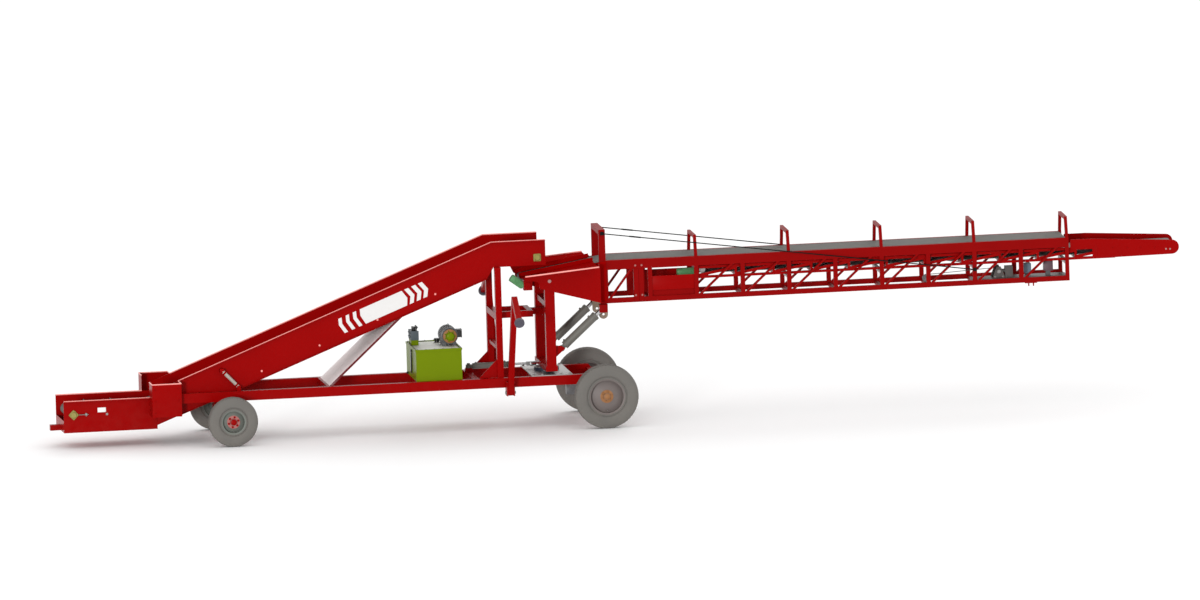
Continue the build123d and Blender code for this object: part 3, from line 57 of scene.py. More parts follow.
level_up = back.cross(level_right)
right = level_right * math.cos(VIEW_ROLL) - level_up * math.sin(VIEW_ROLL)
up = level_right * math.sin(VIEW_ROLL) + level_up * math.cos(VIEW_ROLL)
camera_data = bpy.data.cameras.new("view_camera")
camera_data.type = "ORTHO"
camera_data.ortho_scale = VIEW_WIDTH
camera_data.clip_end = 400.0
camera = bpy.data.objects.new("view_camera", camera_data)
bpy.context.scene.collection.objects.link(camera)
turn = Matrix((right, up, back)).transposed().to_4x4()
camera.matrix_world = Matrix.Translation(AIM + back * VIEW_DISTANCE) @ turn
bpy.context.scene.camera = camera

# Stage: a wide pale floor under an even white sky, with one low soft lamp from the front that leaves the
# far inner faces in shade, and a weak one from behind for the other sides
FLOOR_HALF = 160.0
SKY_STRENGTH = 1.0
FRONT_LAMP = {"azimuth": -24.0, "elevation": 5.0, "strength": 1.7, "spread": 9.0}
REAR_LAMP = {"azimuth": 150.0, "elevation": 32.0, "strength": 0.7, "spread": 40.0}
scene = bpy.context.scene
scene.view_settings.view_transform = "Standard"
sky = bpy.data.worlds.new("studio_sky")
sky.use_nodes = True
sky.node_tree.nodes["Background"].inputs["Color"].default_value = (1.0, 1.0, 1.0, 1.0)
sky.node_tree.nodes["Background"].inputs["Strength"].default_value = SKY_STRENGTH
scene.world = sky
for lamp_name, lamp in (("front_lamp", FRONT_LAMP), ("rear_lamp", REAR_LAMP)):
    light = bpy.data.lights.new(lamp_name, "SUN")
    light.energy = lamp["strength"]
    light.angle = math.radians(lamp["spread"])
    a, e = math.radians(lamp["azimuth"]), math.radians(lamp["elevation"])
    towards = Vector((math.sin(a) * math.cos(e), -math.cos(a) * math.cos(e), math.sin(e)))
    lamp_object = bpy.data.objects.new(lamp_name, light)
    lamp_object.rotation_euler = towards.to_track_quat("Z", "Y").to_euler()
    scene.collection.objects.link(lamp_object)
floor_mesh = bpy.data.meshes.new("studio_floor")
floor_corners = [(-FLOOR_HALF, -FLOOR_HALF, 0.0), (FLOOR_HALF, -FLOOR_HALF, 0.0),
                 (FLOOR_HALF, FLOOR_HALF, 0.0), (-FLOOR_HALF, FLOOR_HALF, 0.0)]
floor_mesh.from_pydata(floor_corners, [], [(0, 1, 2, 3)])
floor = bpy.data.objects.new("studio_floor", floor_mesh)
scene.collection.objects.link(floor)
floor_finish = bpy.data.materials.new("studio_floor")
floor_finish.use_nodes = True
floor_shader = floor_finish.node_tree.nodes["Principled BSDF"]
floor_shader.inputs["Base Color"].default_value = (0.93, 0.93, 0.93, 1.0)
floor_shader.inputs["Roughness"].default_value = 1.0
floor_shader.inputs["Specular IOR Level"].default_value = 0.0
floor_mesh.materials.append(floor_finish)


# Weathering shared by every finish: cloudy colour change, dust that settles on upward faces and low down,
# and a fine grain that the finish turns into bump; on the brace the dust inputs lay a painted sky reflection
# on its upward face instead
def weathering_and_sheen_group():
    """Colour = base, brightened and darkened by cloud noise, then mixed towards dust by the dust mask.
    Dust mask = Dust x broken noise x (how far the face looks up + how near the ground it is).
    Dust Cover lifts the low end of the broken noise, up to an unbroken coat at 1; on the brace that full pale
    coat is a painted sky reflection."""
    group = bpy.data.node_groups.new("weathering_and_sheen", "ShaderNodeTree")
    face = group.interface
    for socket, kind, start in (("Colour", "NodeSocketColor", (0.5, 0.5, 0.5, 1.0)),
                                ("Dust Colour", "NodeSocketColor", (0.42, 0.36, 0.29, 1.0)),
                                ("Dust", "NodeSocketFloat", 0.15), ("Dust Cover", "NodeSocketFloat", 0.0),
                                ("Mottle", "NodeSocketFloat", 0.1), ("Mottle Scale", "NodeSocketFloat", 2.5),
                                ("Roughness", "NodeSocketFloat", 0.3),
                                ("Grain Scale", "NodeSocketFloat", 160.0)):
        face.new_socket(name=socket, in_out="INPUT", socket_type=kind).default_value = start
    for socket, kind in (("Colour", "NodeSocketColor"), ("Roughness", "NodeSocketFloat"),
                         ("Grain", "NodeSocketFloat")):
        face.new_socket(name=socket, in_out="OUTPUT", socket_type=kind)
    node, link = group.nodes.new, group.links.new
    given, put = node("NodeGroupInput"), node("NodeGroupOutput")
    place = node("ShaderNodeTexCoord")
    clouds, breaks, grain = (node("ShaderNodeTexNoise") for _ in range(3))
    clouds.inputs["Detail"].default_value = 5.0
    breaks.inputs["Scale"].default_value = 7.0
    breaks.inputs["Detail"].default_value = 6.0
    grain.inputs["Detail"].default_value = 2.0
    for noise in (clouds, breaks, grain):
        link(place.outputs["Object"], noise.inputs["Vector"])
    link(given.outputs["Mottle Scale"], clouds.inputs["Scale"])
    link(given.outputs["Grain Scale"], grain.inputs["Scale"])
    centred, swing, value = (node("ShaderNodeMath") for _ in range(3))
    centred.operation, swing.operation, value.operation = "SUBTRACT", "MULTIPLY", "ADD"
    centred.inputs[1].default_value = 0.5
    value.inputs[1].default_value = 1.0
    link(clouds.outputs["Fac"], centred.inputs[0])
    link(centred.outputs[0], swing.inputs[0])
    link(given.outputs["Mottle"], swing.inputs[1])
    link(swing.outputs[0], value.inputs[0])
    tinted = node("ShaderNodeHueSaturation")
    link(given.outputs["Colour"], tinted.inputs["Color"])
    link(value.outputs[0], tinted.inputs["Value"])
    facing, height = node("ShaderNodeSeparateXYZ"), node("ShaderNodeSeparateXYZ")
    link(place.outputs["Normal"], facing.inputs[0])
    link(place.outputs["Object"], height.inputs[0])
    upward, low, patches = (node("ShaderNodeMapRange") for _ in range(3))
    upward.inputs["From Min"].default_value = 0.3
    upward.inputs["To Max"].default_value = 1.0
    low.inputs["From Min"].default_value = 0.9
    low.inputs["From Max"].default_value = 0.05
    low.inputs["To Max"].default_value = 0.5
    patches.inputs["From Min"].default_value = 0.35
    patches.inputs["From Max"].default_value = 0.7
    link(given.outputs["Dust Cover"], patches.inputs["To Min"])
    link(facing.outputs["Z"], upward.inputs["Value"])
    link(height.outputs["Z"], low.inputs["Value"])
    link(breaks.outputs["Fac"], patches.inputs["Value"])
    both, broken, mask = (node("ShaderNodeMath") for _ in range(3))
    both.operation, broken.operation, mask.operation = "ADD", "MULTIPLY", "MULTIPLY"
    mask.use_clamp = True
    link(upward.outputs["Result"], both.inputs[0])
    link(low.outputs["Result"], both.inputs[1])
    link(both.outputs[0], broken.inputs[0])
    link(patches.outputs["Result"], broken.inputs[1])
    link(broken.outputs[0], mask.inputs[0])
    link(given.outputs["Dust"], mask.inputs[1])
    dust_and_sheen_mix = node("ShaderNodeMix")
    dust_and_sheen_mix.data_type = "RGBA"
    link(mask.outputs[0], dust_and_sheen_mix.inputs["Factor"])
    link(tinted.outputs["Color"], dust_and_sheen_mix.inputs["A"])
    link(given.outputs["Dust Colour"], dust_and_sheen_mix.inputs["B"])
    link(dust_and_sheen_mix.outputs["Result"], put.inputs["Colour"])
    uneven, rough = node("ShaderNodeMath"), node("ShaderNodeMath")
    uneven.operation, rough.operation = "MULTIPLY_ADD", "MULTIPLY_ADD"
    uneven.inputs[1].default_value = 0.16
    rough.inputs[1].default_value = 0.5
    link(centred.outputs[0], uneven.inputs[0])
    link(given.outputs["Roughness"], uneven.inputs[2])
    link(mask.outputs[0], rough.inputs[0])
    link(uneven.outputs[0], rough.inputs[2])
    link(rough.outputs[0], put.inputs["Roughness"])
    link(grain.outputs["Fac"], put.inputs["Grain"])
    return group


weathering_and_sheen = weathering_and_sheen_group()


def finish(name, colour, roughness, metallic=0.0, ior=1.3, dust_and_sheen=0.12, mottle=0.12, mottle_scale=2.5,
           grain_scale=160.0, grain_depth=0.0003, dust_and_sheen_colour=(0.42, 0.36, 0.29), dust_and_sheen_cover=0.0):
    """A finish: the shared group gives colour (weathered, and on the brace a painted sky reflection),
    roughness and grain, and grain becomes bump.
    """
    material = bpy.data.materials.new(name)
    material.use_nodes = True
    tree = material.node_tree
    shader = tree.nodes["Principled BSDF"]
    shader.inputs["Metallic"].default_value = metallic
    shader.inputs["IOR"].default_value = ior
    look = tree.nodes.new("ShaderNodeGroup")
    look.node_tree = weathering_and_sheen
    look.inputs["Colour"].default_value = (*colour, 1.0)
    look.inputs["Dust Colour"].default_value = (*dust_and_sheen_colour, 1.0)
    for socket, value in (("Dust", dust_and_sheen), ("Dust Cover", dust_and_sheen_cover), ("Mottle", mottle),
                          ("Mottle Scale", mottle_scale), ("Roughness", roughness),
                          ("Grain Scale", grain_scale)):
        look.inputs[socket].default_value = value
    bump = tree.nodes.new("ShaderNodeBump")
    bump.inputs["Strength"].default_value = 0.35
    bump.inputs["Distance"].default_value = grain_depth
    tree.links.new(look.outputs["Grain"], bump.inputs["Height"])
    tree.links.new(look.outputs["Colour"], shader.inputs["Base Color"])
    tree.links.new(look.outputs["Roughness"], shader.inputs["Roughness"])
    tree.links.new(bump.outputs["Normal"], shader.inputs["Normal"])
    return material


def dress(material, *nodes):
    """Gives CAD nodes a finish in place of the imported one."""
    for name in nodes:
        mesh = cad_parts[name].data
        mesh.materials.clear()
        mesh.materials.append(material)


# Chassis frame: two welded box beams with cross tubes, a portal behind the elevator and a folded brace,
# under one coat of gloss red that is dusty low down; the brace is a darker red as painted shade, with a pale
# sky reflection painted over its upward face
RED = (0.242, 0.0009, 0.0009)
red_paint = finish("red_paint", RED, 0.26, ior=1.11, dust_and_sheen=0.03, mottle=0.16, grain_scale=220.0)
brace_painted_light = finish("brace_painted_light", (0.10, 0.001, 0.004), 0.06, ior=1.35, dust_and_sheen=1.6, mottle=0.2, grain_scale=220.0,
                   dust_and_sheen_colour=(0.95, 0.85, 0.84), dust_and_sheen_cover=1.0)
dress(red_paint, "chassis_frame", "portal_frame")
dress(brace_painted_light, "elevator_brace")

# Axle hangers: welded sheet plates that carry both axles, clamped to the outer faces of the box beams by
# plated steel bolts, two on each side of the machine at either axle
STEEL = (0.30, 0.29, 0.28)
FRONT_AXLE_X, REAR_AXLE_X = -5.930, -0.263
BEAM_FACE_Y, HANGER_BOLT_X, HANGER_BOLT_Z = 0.580, 0.05, 0.66
HANGER_HEAD = (0.030, 0.014)


def skin(rings, closed=False):
    """Quads between neighbouring rings of points, each ring joined end to end. An open row of rings gets one
    flat face at each end, and a closed row joins its last ring to its first."""
    rows, around = rings.shape[:2]
    index = np.arange(rows * around).reshape(rows, around)
    here, there = (index, np.roll(index, -1, 0)) if closed else (index[:-1], index[1:])
    quads = np.stack([here, np.roll(here, -1, 1), np.roll(there, -1, 1), there], -1).reshape(-1, 4)
    return rings.reshape(-1, 3), quads, [] if closed else [index[0], index[-1]]


def spun(along, radius, centre, axis, sides):
    """Rings round an axis: centre + along x axis + radius x (cos a, sin a) across it, where the radius may
    also change with the angle a."""
    axis = np.array(axis, float) / np.linalg.norm(axis)
    across = np.cross(axis, (0.0, 0.0, 1.0) if abs(axis[2]) < 0.9 else (1.0, 0.0, 0.0))
    across /= np.linalg.norm(across)
    angle = np.linspace(0.0, 2.0 * np.pi, sides, endpoint=False)
    circle = np.cos(angle)[:, None] * across + np.sin(angle)[:, None] * np.cross(axis, across)
    radius = np.broadcast_to(np.reshape(radius, (len(along), -1)), (len(along), sides))
    return np.asarray(centre, float) + np.reshape(along, (-1, 1, 1)) * axis + radius[..., None] * circle


def turned(profile, centre, axis, sides=40):
    """A turned solid: each pair of distance along the axis and radius becomes a circle."""
    along, radius = np.array(profile, float).T
    return skin(spun(along, radius, centre, axis, sides))


def hex_heads(places, axis, size):
    """Bolt heads of a size, its width across flats and its height: at each place a round washer a fifth of
    the height and a six-sided head with a chamfered top."""
    across, height = size
    r = across / math.sqrt(3.0)
    washer = [(0.0, 1.35 * r), (0.2 * height, 1.35 * r)]
    head = [(0.2 * height, r), (0.85 * height, r), (height, 0.84 * r)]
    return [turned(*row) for place in places for row in ((washer, place, axis, 16), (head, place, axis, 6))]


def heads_both_sides(places, face_y, size):
    """The same bolt heads on the right and the left face, from pairs of x and z."""
    return [part for side in (-1, 1)
            for part in hex_heads([(x, side * face_y, z) for x, z in places], (0, side, 0), size)]


def piece(name, skins, material, slot, body, *stands_for, crease=32.0):
    """One mesh from several skins, faces turned outwards and edges past the crease angle kept crisp, riding
    on a body in place of the CAD nodes named."""
    points, faces, start = [], [], 0
    for own_points, quads, ends in skins:
        points.append(own_points)
        faces += (quads + start).tolist() + [(end + start).tolist() for end in ends]
        start += len(own_points)
    mesh = bpy.data.meshes.new(name)
    mesh.from_pydata(np.concatenate(points).tolist(), [], faces)
    shell = bmesh.new()
    shell.from_mesh(mesh)
    bmesh.ops.recalc_face_normals(shell, faces=shell.faces)
    shell.to_mesh(mesh)
    shell.free()
    mesh.shade_smooth()
    mesh.set_sharp_from_angle(angle=math.radians(crease))
    mesh.materials.append(material)
    made = bpy.data.objects.new(name, mesh)
    scene.collection.objects.link(made)
    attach(made, body)
    if stands_for:
        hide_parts(*stands_for)


bare_steel = finish("bare_steel", STEEL, 0.36, metallic=0.8, dust_and_sheen=0.08, mottle=0.2, mottle_scale=9.0)
hanger_places = [(axle_x + a * HANGER_BOLT_X, HANGER_BOLT_Z) for axle_x in (FRONT_AXLE_X, REAR_AXLE_X)
                 for a in (-1, 1)]
piece("hanger_bolts", heads_both_sides(hanger_places, BEAM_FACE_Y, HANGER_HEAD), bare_steel, "bare_steel",
      "chassis")

# Axles: a red welded box section under the beams in front, and one with a drive casing behind; the wheels
# turn on plain spindles at their ends
dress(red_paint, "front_axle", "rear_axle")

# Tyres: grey moulded rubber with five ribs, four grooves and notched shoulders, and two fine ridges round
# each side wall; they are seated on the beads of the rims
TYRES = {"front": (FRONT_AXLE_X, 0.3735, 0.195, 0.50), "rear": (REAR_AXLE_X, 0.4815, 0.235, 0.56)}
WHEEL_Y = 0.965
TYRE_GREY = (0.122, 0.115, 0.105)
RIB_TABLE = [(0.39, 0.0), (0.335, 0.0), (0.27, 0.0), (0.258, 0.008), (0.232, 0.008), (0.22, 0.0), (0.17, 0.0),
             (0.122, 0.0), (0.112, 0.008), (0.088, 0.008), (0.078, 0.0), (0.03, 0.0)]
TREAD_EDGE, CROWN, SHOULDER_DROP = 0.39, 0.006, 0.014
WALL_FOOT, WALL_BULGE = 0.385, 0.108
RIDGES_AT, RIDGE_SPREAD, RIDGE_HEIGHT = (0.32, 0.78), 0.03, 0.003
BEAD_AT, BEAD_SPREAD, BEAD_DEPTH = 0.13, 0.05, 0.016
NOTCHES, NOTCH_DEPTH, NOTCH_WALL, NOTCH_TREAD = 54, 0.008, 0.93, 0.3
tyre_rubber = finish("tyre_rubber", TYRE_GREY, 0.72, ior=1.3, dust_and_sheen=0.12, mottle=0.18, mottle_scale=3.0,
                     grain_scale=300.0, grain_depth=0.0008)


def tyre(axle_x, radius, width, rim_radius, wheel_y):
    """A tyre as (angle, profile): the side walls bulge as a sine of the climb from bead to shoulder, with a
    groove round the bead and two fine ridges; the crown falls with the square of the distance from its
    middle; ribs and shoulder notches are taken off the radius."""
    climb = np.linspace(0.0, 1.0, 30)
    wall_r = rim_radius + climb * (radius - SHOULDER_DROP - rim_radius)
    ridges = sum(np.exp(-((climb - at) / RIDGE_SPREAD) ** 2) for at in RIDGES_AT)
    bead_groove = np.exp(-((climb - BEAD_AT) / BEAD_SPREAD) ** 2)
    wall_y = width * (WALL_FOOT + WALL_BULGE * np.sin(np.pi * (0.07 + 0.87 * climb)))
    wall_y += RIDGE_HEIGHT * ridges - BEAD_DEPTH * bead_groove
    half_tread, half_cut = np.array(RIB_TABLE).T
    tread = np.concatenate([half_tread, -half_tread[::-1]])
    tread_r = radius - np.concatenate([half_cut, half_cut[::-1]]) - CROWN * (tread / TREAD_EDGE) ** 2
    profile_r = np.concatenate([wall_r, tread_r, wall_r[::-1]])
    profile_y = np.concatenate([wall_y, tread * width, -wall_y[::-1]])
    notched = np.concatenate([climb > NOTCH_WALL, abs(tread) > NOTCH_TREAD, climb[::-1] > NOTCH_WALL])
    angle = np.arange(NOTCHES * 5) * 2.0 * np.pi / (NOTCHES * 5)
    gap = np.tile([0.0, 0.0, 0.0, 1.0, 1.0], NOTCHES)
    r = profile_r - NOTCH_DEPTH * gap[:, None] * notched
    rings = np.stack([axle_x + r * np.cos(angle)[:, None], wheel_y + np.broadcast_to(profile_y, r.shape),
                      radius + r * np.sin(angle)[:, None]], -1)
    return skin(rings, closed=True)


for end, (axle_x, radius, width, share) in TYRES.items():
    for side, hand in ((-1, "right"), (1, "left")):
        carcass = tyre(axle_x, radius, width, share * radius, side * WHEEL_Y)
        piece(f"{end}_{hand}_tread", [carcass], tyre_rubber, "tyre_grey", f"{end}_{hand}_wheel",
              f"{end}_{hand}_tyre", crease=40.0)

# Rims and hubs: pressed steel discs in the tyre's grey with a valve stem, and six wheel nuts round a turned
# cap over the spindle, dark red in front and ochre primer behind
RIM_GREYS = {"front": (0.130, 0.140, 0.124), "rear": (0.134, 0.112, 0.106)}
OCHRE, PALE_RED = (0.26, 0.115, 0.04), (0.34, 0.12, 0.11)
DISC_STEP, STUDS, STUD_RADIUS, STUD_TURN, STUD_NUT = 0.046, 6, 0.075, 0.3, (0.022, 0.018)
HUB_CAP = [(0.0, 0.053), (0.05, 0.053), (0.074, 0.050), (0.080, 0.034), (0.088, 0.032), (0.092, 0.022),
           (0.0925, 0.004)]
HUB_RING = [(DISC_STEP - 0.004, 0.099), (DISC_STEP + 0.001, 0.099), (DISC_STEP + 0.003, 0.096),
            (DISC_STEP + 0.003, 0.045)]
STEM, STEM_OUT, STEM_SHARE = [(-0.015, 0.007), (0.028, 0.005), (0.03, 0.004), (0.04, 0.004)], 0.03, 0.78
hub_ochre = finish("hub_ochre", OCHRE, 0.5, ior=1.3, dust_and_sheen=0.15, mottle=0.4, mottle_scale=14.0)
hub_red = finish("hub_red", PALE_RED, 0.45, ior=1.25, dust_and_sheen=0.1, mottle=0.3, mottle_scale=12.0)
HUB_LOOKS = {"front": (red_paint, "red_paint", hub_red), "rear": (hub_ochre, "rim_grey", hub_ochre)}
for end, (axle_x, radius, width, share) in TYRES.items():
    rim_grey = finish(f"{end}_rim_grey", RIM_GREYS[end], 0.48, ior=1.35, dust_and_sheen=0.1)
    cap_finish, cap_slot, ring_finish = HUB_LOOKS[end]
    for side, hand in ((-1, "right"), (1, "left")):
        out, body = np.array((0.0, side, 0.0)), f"{end}_{hand}_wheel"
        dress(rim_grey, f"{end}_{hand}_rim")
        hub = np.array((axle_x, side * WHEEL_Y, radius))
        clock = np.arange(STUDS) * 2.0 * np.pi / STUDS + STUD_TURN
        stud_ring = STUD_RADIUS * np.stack([np.cos(clock), 0 * clock, np.sin(clock)], -1)
        studs = hub + out * (DISC_STEP + 0.002) + stud_ring
        stem_at = hub + np.array((0.0, side * STEM_OUT, -STEM_SHARE * share * radius))
        piece(f"{end}_{hand}_hub", [turned(HUB_CAP, hub, out), *hex_heads(studs, out, STUD_NUT)], cap_finish,
              cap_slot, body)
        piece(f"{end}_{hand}_hub_ring", [turned(HUB_RING, hub, out)], ring_finish, "rim_grey", body)
        piece(f"{end}_{hand}_valve_stem", [turned(STEM, stem_at, out, 14)], bare_steel, "bare_steel", body)

# Drive motor: a grey cast hydraulic motor with fins, flanged to the front of the rear axle's casing and
# turning the wheels through it
MOTOR_GREY = (0.13, 0.13, 0.135)
DRIVE_FLANGE, DRIVE_LENGTH, DRIVE_R = (-0.513, 0.0, 0.481), 0.222, 0.085
SHIELD = [(0.0, 0.8), (0.05, 0.82), (0.07, 0.96), (0.13, 0.98), (0.15, 0.93)]
COWL = [(0.70, 0.90), (0.71, 0.97), (0.73, 1.0), (0.93, 1.0), (0.98, 0.95), (1.0, 0.84), (0.99, 0.6)]
HOUSING = np.array([0.12, 0.72])
motor_grey = finish("motor_grey", MOTOR_GREY, 0.42, ior=1.35, dust_and_sheen=0.15, mottle=0.2, mottle_scale=6.0)


def motor(start, axis, length, radius, fins=26, depth=0.007):
    """A finned motor from its flange, in shares of its length and radius: a stepped end shield, a housing
    whose radius drops by the fin depth on every second pair of points round it, and a fan cowl with an eased
    edge."""
    ends = [turned([(a * length, r * radius) for a, r in row], start, axis) for row in (SHIELD, COWL)]
    wave = radius - depth * np.tile([0.0, 0.0, 1.0, 1.0], fins) - 0.01 * radius
    housing = skin(spun(HOUSING * length, np.stack([wave, wave]), start, axis, 4 * fins))
    return [*ends, housing]


piece("drive_motor_body", motor(DRIVE_FLANGE, (-1, 0, 0), DRIVE_LENGTH, DRIVE_R), motor_grey, "motor_grey",
      "chassis", "drive_motor")

# Infeed trough: walls and pan of folded red sheet, bolted together at the knee; the drawbar stub at its
# front end has a pressed steel bush under its pin hole
dress(red_paint, "infeed_wall_right", "infeed_wall_left", "infeed_pan")
BUSH_PROFILE = [(0.0, 0.021), (0.0, 0.034), (0.006, 0.036), (0.02, 0.036), (0.026, 0.034), (0.026, 0.021)]
HITCH_X, BUSH_DROP = -8.530, 0.003
pan_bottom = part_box("infeed_pan")[0][2]
bush_along, bush_r = np.array(BUSH_PROFILE).T
bush_rings = spun(bush_along, bush_r, (HITCH_X, 0.0, pan_bottom - BUSH_DROP), (0, 0, 1), 36)
piece("drawbar_bush", [skin(bush_rings, closed=True)], bare_steel, "bare_steel", "chassis")

# Flange bearings: cast squares with rounded corners and a turned boss, olive primed, four bolts each and a
# grease nipple; the tail pair stands on its corner
TAIL, HEAD = (-8.264, 0.516), (-1.176, 2.557)
BEARING_HALF, FLANGE_T, BOSS_R, BOSS_T = 0.0575, 0.016, 0.040, 0.036
BOLT_INSET, CORNER_R, BEARING_HEAD = 0.016, 0.014, (0.019, 0.011)
NIPPLE_SHIFT, NIPPLE_OUT, NIPPLE_LIFT, NIPPLE_LEAN = 0.03, 0.024, 0.036, 0.4
BOSS = [(FLANGE_T - 0.002, 0.050), (FLANGE_T + 0.003, 0.044), (BOSS_T - 0.004, BOSS_R), (BOSS_T, 0.036),
        (BOSS_T - 0.002, 0.026), (BOSS_T - 0.002, 0.02)]
NIPPLE = [(0.0, 0.004), (0.016, 0.004), (0.018, 0.0055), (0.024, 0.003)]
BEARINGS = [(TAIL, -0.406, -1, 45.0), (TAIL, 0.406, 1, 45.0), (HEAD, -0.440, -1, 0.0)]
bearing_olive = finish("bearing_olive", (0.245, 0.215, 0.058), 0.42, ior=1.3, dust_and_sheen=0.08, mottle=0.3,
                       mottle_scale=20.0)


def block(corner, opposite, ease, along=2):
    """A cast or folded box between two opposite corners: a rectangle with rounded corners carried along one
    axis, drawn in at both ends."""
    low, high = np.sort(np.array([corner, opposite], float), axis=0)
    order = [(along + 1) % 3, (along + 2) % 3, along]
    half = (high - low)[order] / 2.0
    turn = np.repeat(np.arange(4), 5) * np.pi / 2.0 + np.tile(np.linspace(0.0, np.pi / 2.0, 5), 4)
    side = np.repeat([[1, 1], [-1, 1], [-1, -1], [1, -1]], 5, axis=0)
    draw = ease * np.array([0.75, 0.25, 0.0, 0.0, 0.25, 0.75])
    level = np.sign(np.arange(6) - 2.5) * (half[2] - ease * np.array([0.0, 0.25, 0.9, 0.9, 0.25, 0.0]))
    round_corner = (ease - draw)[:, None, None] * np.stack([np.cos(turn), np.sin(turn)], -1)
    rings = np.empty((6, 20, 3))
    rings[..., order[:2]] = side * (half[:2] - ease) + round_corner
    rings[..., order[2]] = level[:, None]
    return skin(rings + (low + high) / 2.0)


castings, casting_bolts = [], []
for (x, z), face_y, side, tilt in BEARINGS:
    c, s = math.cos(math.radians(tilt)), math.sin(math.radians(tilt))
    points, quads, ends = block((-BEARING_HALF, -BEARING_HALF, 0.0),
                                (BEARING_HALF, BEARING_HALF, FLANGE_T), CORNER_R)
    placed = np.stack([x + c * points[:, 0] - s * points[:, 1], face_y + side * points[:, 2],
                       z + s * points[:, 0] + c * points[:, 1]], -1)
    nipple_at = (x + NIPPLE_SHIFT * s, face_y + side * NIPPLE_OUT, z + NIPPLE_LIFT)
    castings += [(placed, quads, ends), turned(BOSS, (x, face_y, z), (0, side, 0)),
                 turned(NIPPLE, nipple_at, (NIPPLE_LEAN * s, 0, 1), 12)]
    reach = BEARING_HALF - BOLT_INSET
    corners = [(x + c * a - s * b, face_y + side * FLANGE_T, z + s * a + c * b) for a in (-reach, reach)
               for b in (-reach, reach)]
    casting_bolts += hex_heads(corners, (0, side, 0), BEARING_HEAD)
piece("bearing_castings", castings, bearing_olive, "bearing_yellow", "chassis", "flange_bearings")
piece("bearing_bolts", casting_bolts, bearing_olive, "bearing_yellow", "chassis")

# Take-up screws: threaded steel bars that pull the tail bearings back to tighten the belt, each through a
# welded lug with a lock nut on both of its faces
SCREW_X, SCREW_Y, SCREW_R, THREAD_DEPTH, THREAD_POINTS = (-8.184, -8.040), 0.420, 0.008, 0.0014, 73
TAKE_UP_LUG_X, TAKE_UP_LUG_Y, TAKE_UP_LUG_HALF = (-8.082, -8.068), (-0.014, 0.016), 0.025
LOCK_NUT = (0.024, 0.014)
thread_at = np.linspace(0.0, SCREW_X[1] - SCREW_X[0], THREAD_POINTS)
thread_r = SCREW_R - THREAD_DEPTH * (np.arange(THREAD_POINTS) % 2)
screws = []
for side in (-1, 1):
    y = side * SCREW_Y
    screws.append(skin(spun(thread_at, thread_r, (SCREW_X[0], y, TAIL[1]), (1, 0, 0), 18)))
    screws.append(block((TAKE_UP_LUG_X[0], y + side * TAKE_UP_LUG_Y[0], TAIL[1] - TAKE_UP_LUG_HALF),
                        (TAKE_UP_LUG_X[1], y + side * TAKE_UP_LUG_Y[1], TAIL[1] + TAKE_UP_LUG_HALF), 0.004))
    for x, facing in zip(TAKE_UP_LUG_X, (-1, 1)):
        screws += hex_heads([(x, y, TAIL[1])], (facing, 0, 0), LOCK_NUT)
piece("take_up_screws", screws, bare_steel, "bare_steel", "chassis")

# Blank plate: a small white enamelled sheet, held to the right infeed wall by a rivet in each corner, with
# one plated bolt through the wall below it
PLATE_X, PLATE_Y, PLATE_Z, PLATE_HALF = -7.835, (-0.4085, -0.4055), 0.574, (0.0625, 0.035)
RIVET, RIVET_Y, RIVET_INSET = [(0.0, 0.004), (0.0012, 0.0038), (0.002, 0.0025)], -0.4083, 0.008
WALL_BOLT, WALL_BOLT_HEAD = (-7.757, -0.406, 0.507), (0.024, 0.012)
white_enamel = finish("white_enamel", (0.72, 0.72, 0.71), 0.3, ior=1.4, dust_and_sheen=0.12, mottle=0.06)
blank_plate = block((PLATE_X - PLATE_HALF[0], PLATE_Y[0], PLATE_Z - PLATE_HALF[1]),
                    (PLATE_X + PLATE_HALF[0], PLATE_Y[1], PLATE_Z + PLATE_HALF[1]), 0.0012, along=1)
rivet_x, rivet_z = PLATE_HALF[0] - RIVET_INSET, PLATE_HALF[1] - RIVET_INSET
rivet_places = [(PLATE_X + a * rivet_x, RIVET_Y, PLATE_Z + b * rivet_z) for a in (-1, 1) for b in (-1, 1)]
piece("blank_plate", [blank_plate], white_enamel, "motor_grey", "chassis")
piece("plate_fixings", [turned(RIVET, place, (0, -1, 0), 12) for place in rivet_places]
      + hex_heads([WALL_BOLT], (0, -1, 0), WALL_BOLT_HEAD), bare_steel, "bare_steel", "chassis")

# Knee guards: folded sheets over the bend of the belt, bolted to the trough and the beam ends; inside them
# a narrow strip closes the step between the trough's wall and the elevator's
SHEET_T, GUARD_HEAD = 0.006, (0.019, 0.010)
dress(red_paint, "knee_guards")
trough_low, trough_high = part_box("infeed_wall_left")
guard_low, guard_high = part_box("knee_guards")
wall_low, wall_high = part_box("elevator_wall_left")
guard_places = [(x, z) for x in (-7.06, -6.705) for z in (0.52, 0.70, 0.88)]
piece("guard_bolts", heads_both_sides(guard_places, guard_high[1], GUARD_HEAD), red_paint, "red_paint",
      "chassis")
STRIP_HALF, STRIP_Z = 0.004, (0.309, 0.719)
strips = [block((wall_low[0] - STRIP_HALF, side * (trough_low[1] + 0.001), STRIP_Z[0]),
                (wall_low[0] + STRIP_HALF, side * (wall_low[1] + SHEET_T - 0.001), STRIP_Z[1]), 0.001)
          for side in (-1, 1)]
piece("knee_strips", strips, red_paint, "red_paint", "chassis")

# Wall beads: the top edges of the trough, the guards and the elevator walls are rolled over into a round bead
# whose pale pink is a painted highlight of the light along the edge
BEAD_R, BEAD_LIFT, KNEE_TOP_X = 0.009, 0.001, -1.869
TROUGH_INSET, HEAD_INSET, GUARD_ENDS_Y, WALL_START = 0.005, 0.004, (0.410, 0.446), (-6.672, 0.956)
edge_painted_highlight = finish("edge_painted_highlight", (0.80, 0.30, 0.27), 0.3, ior=1.25, dust_and_sheen=0.0, mottle=0.4, mottle_scale=5.0)


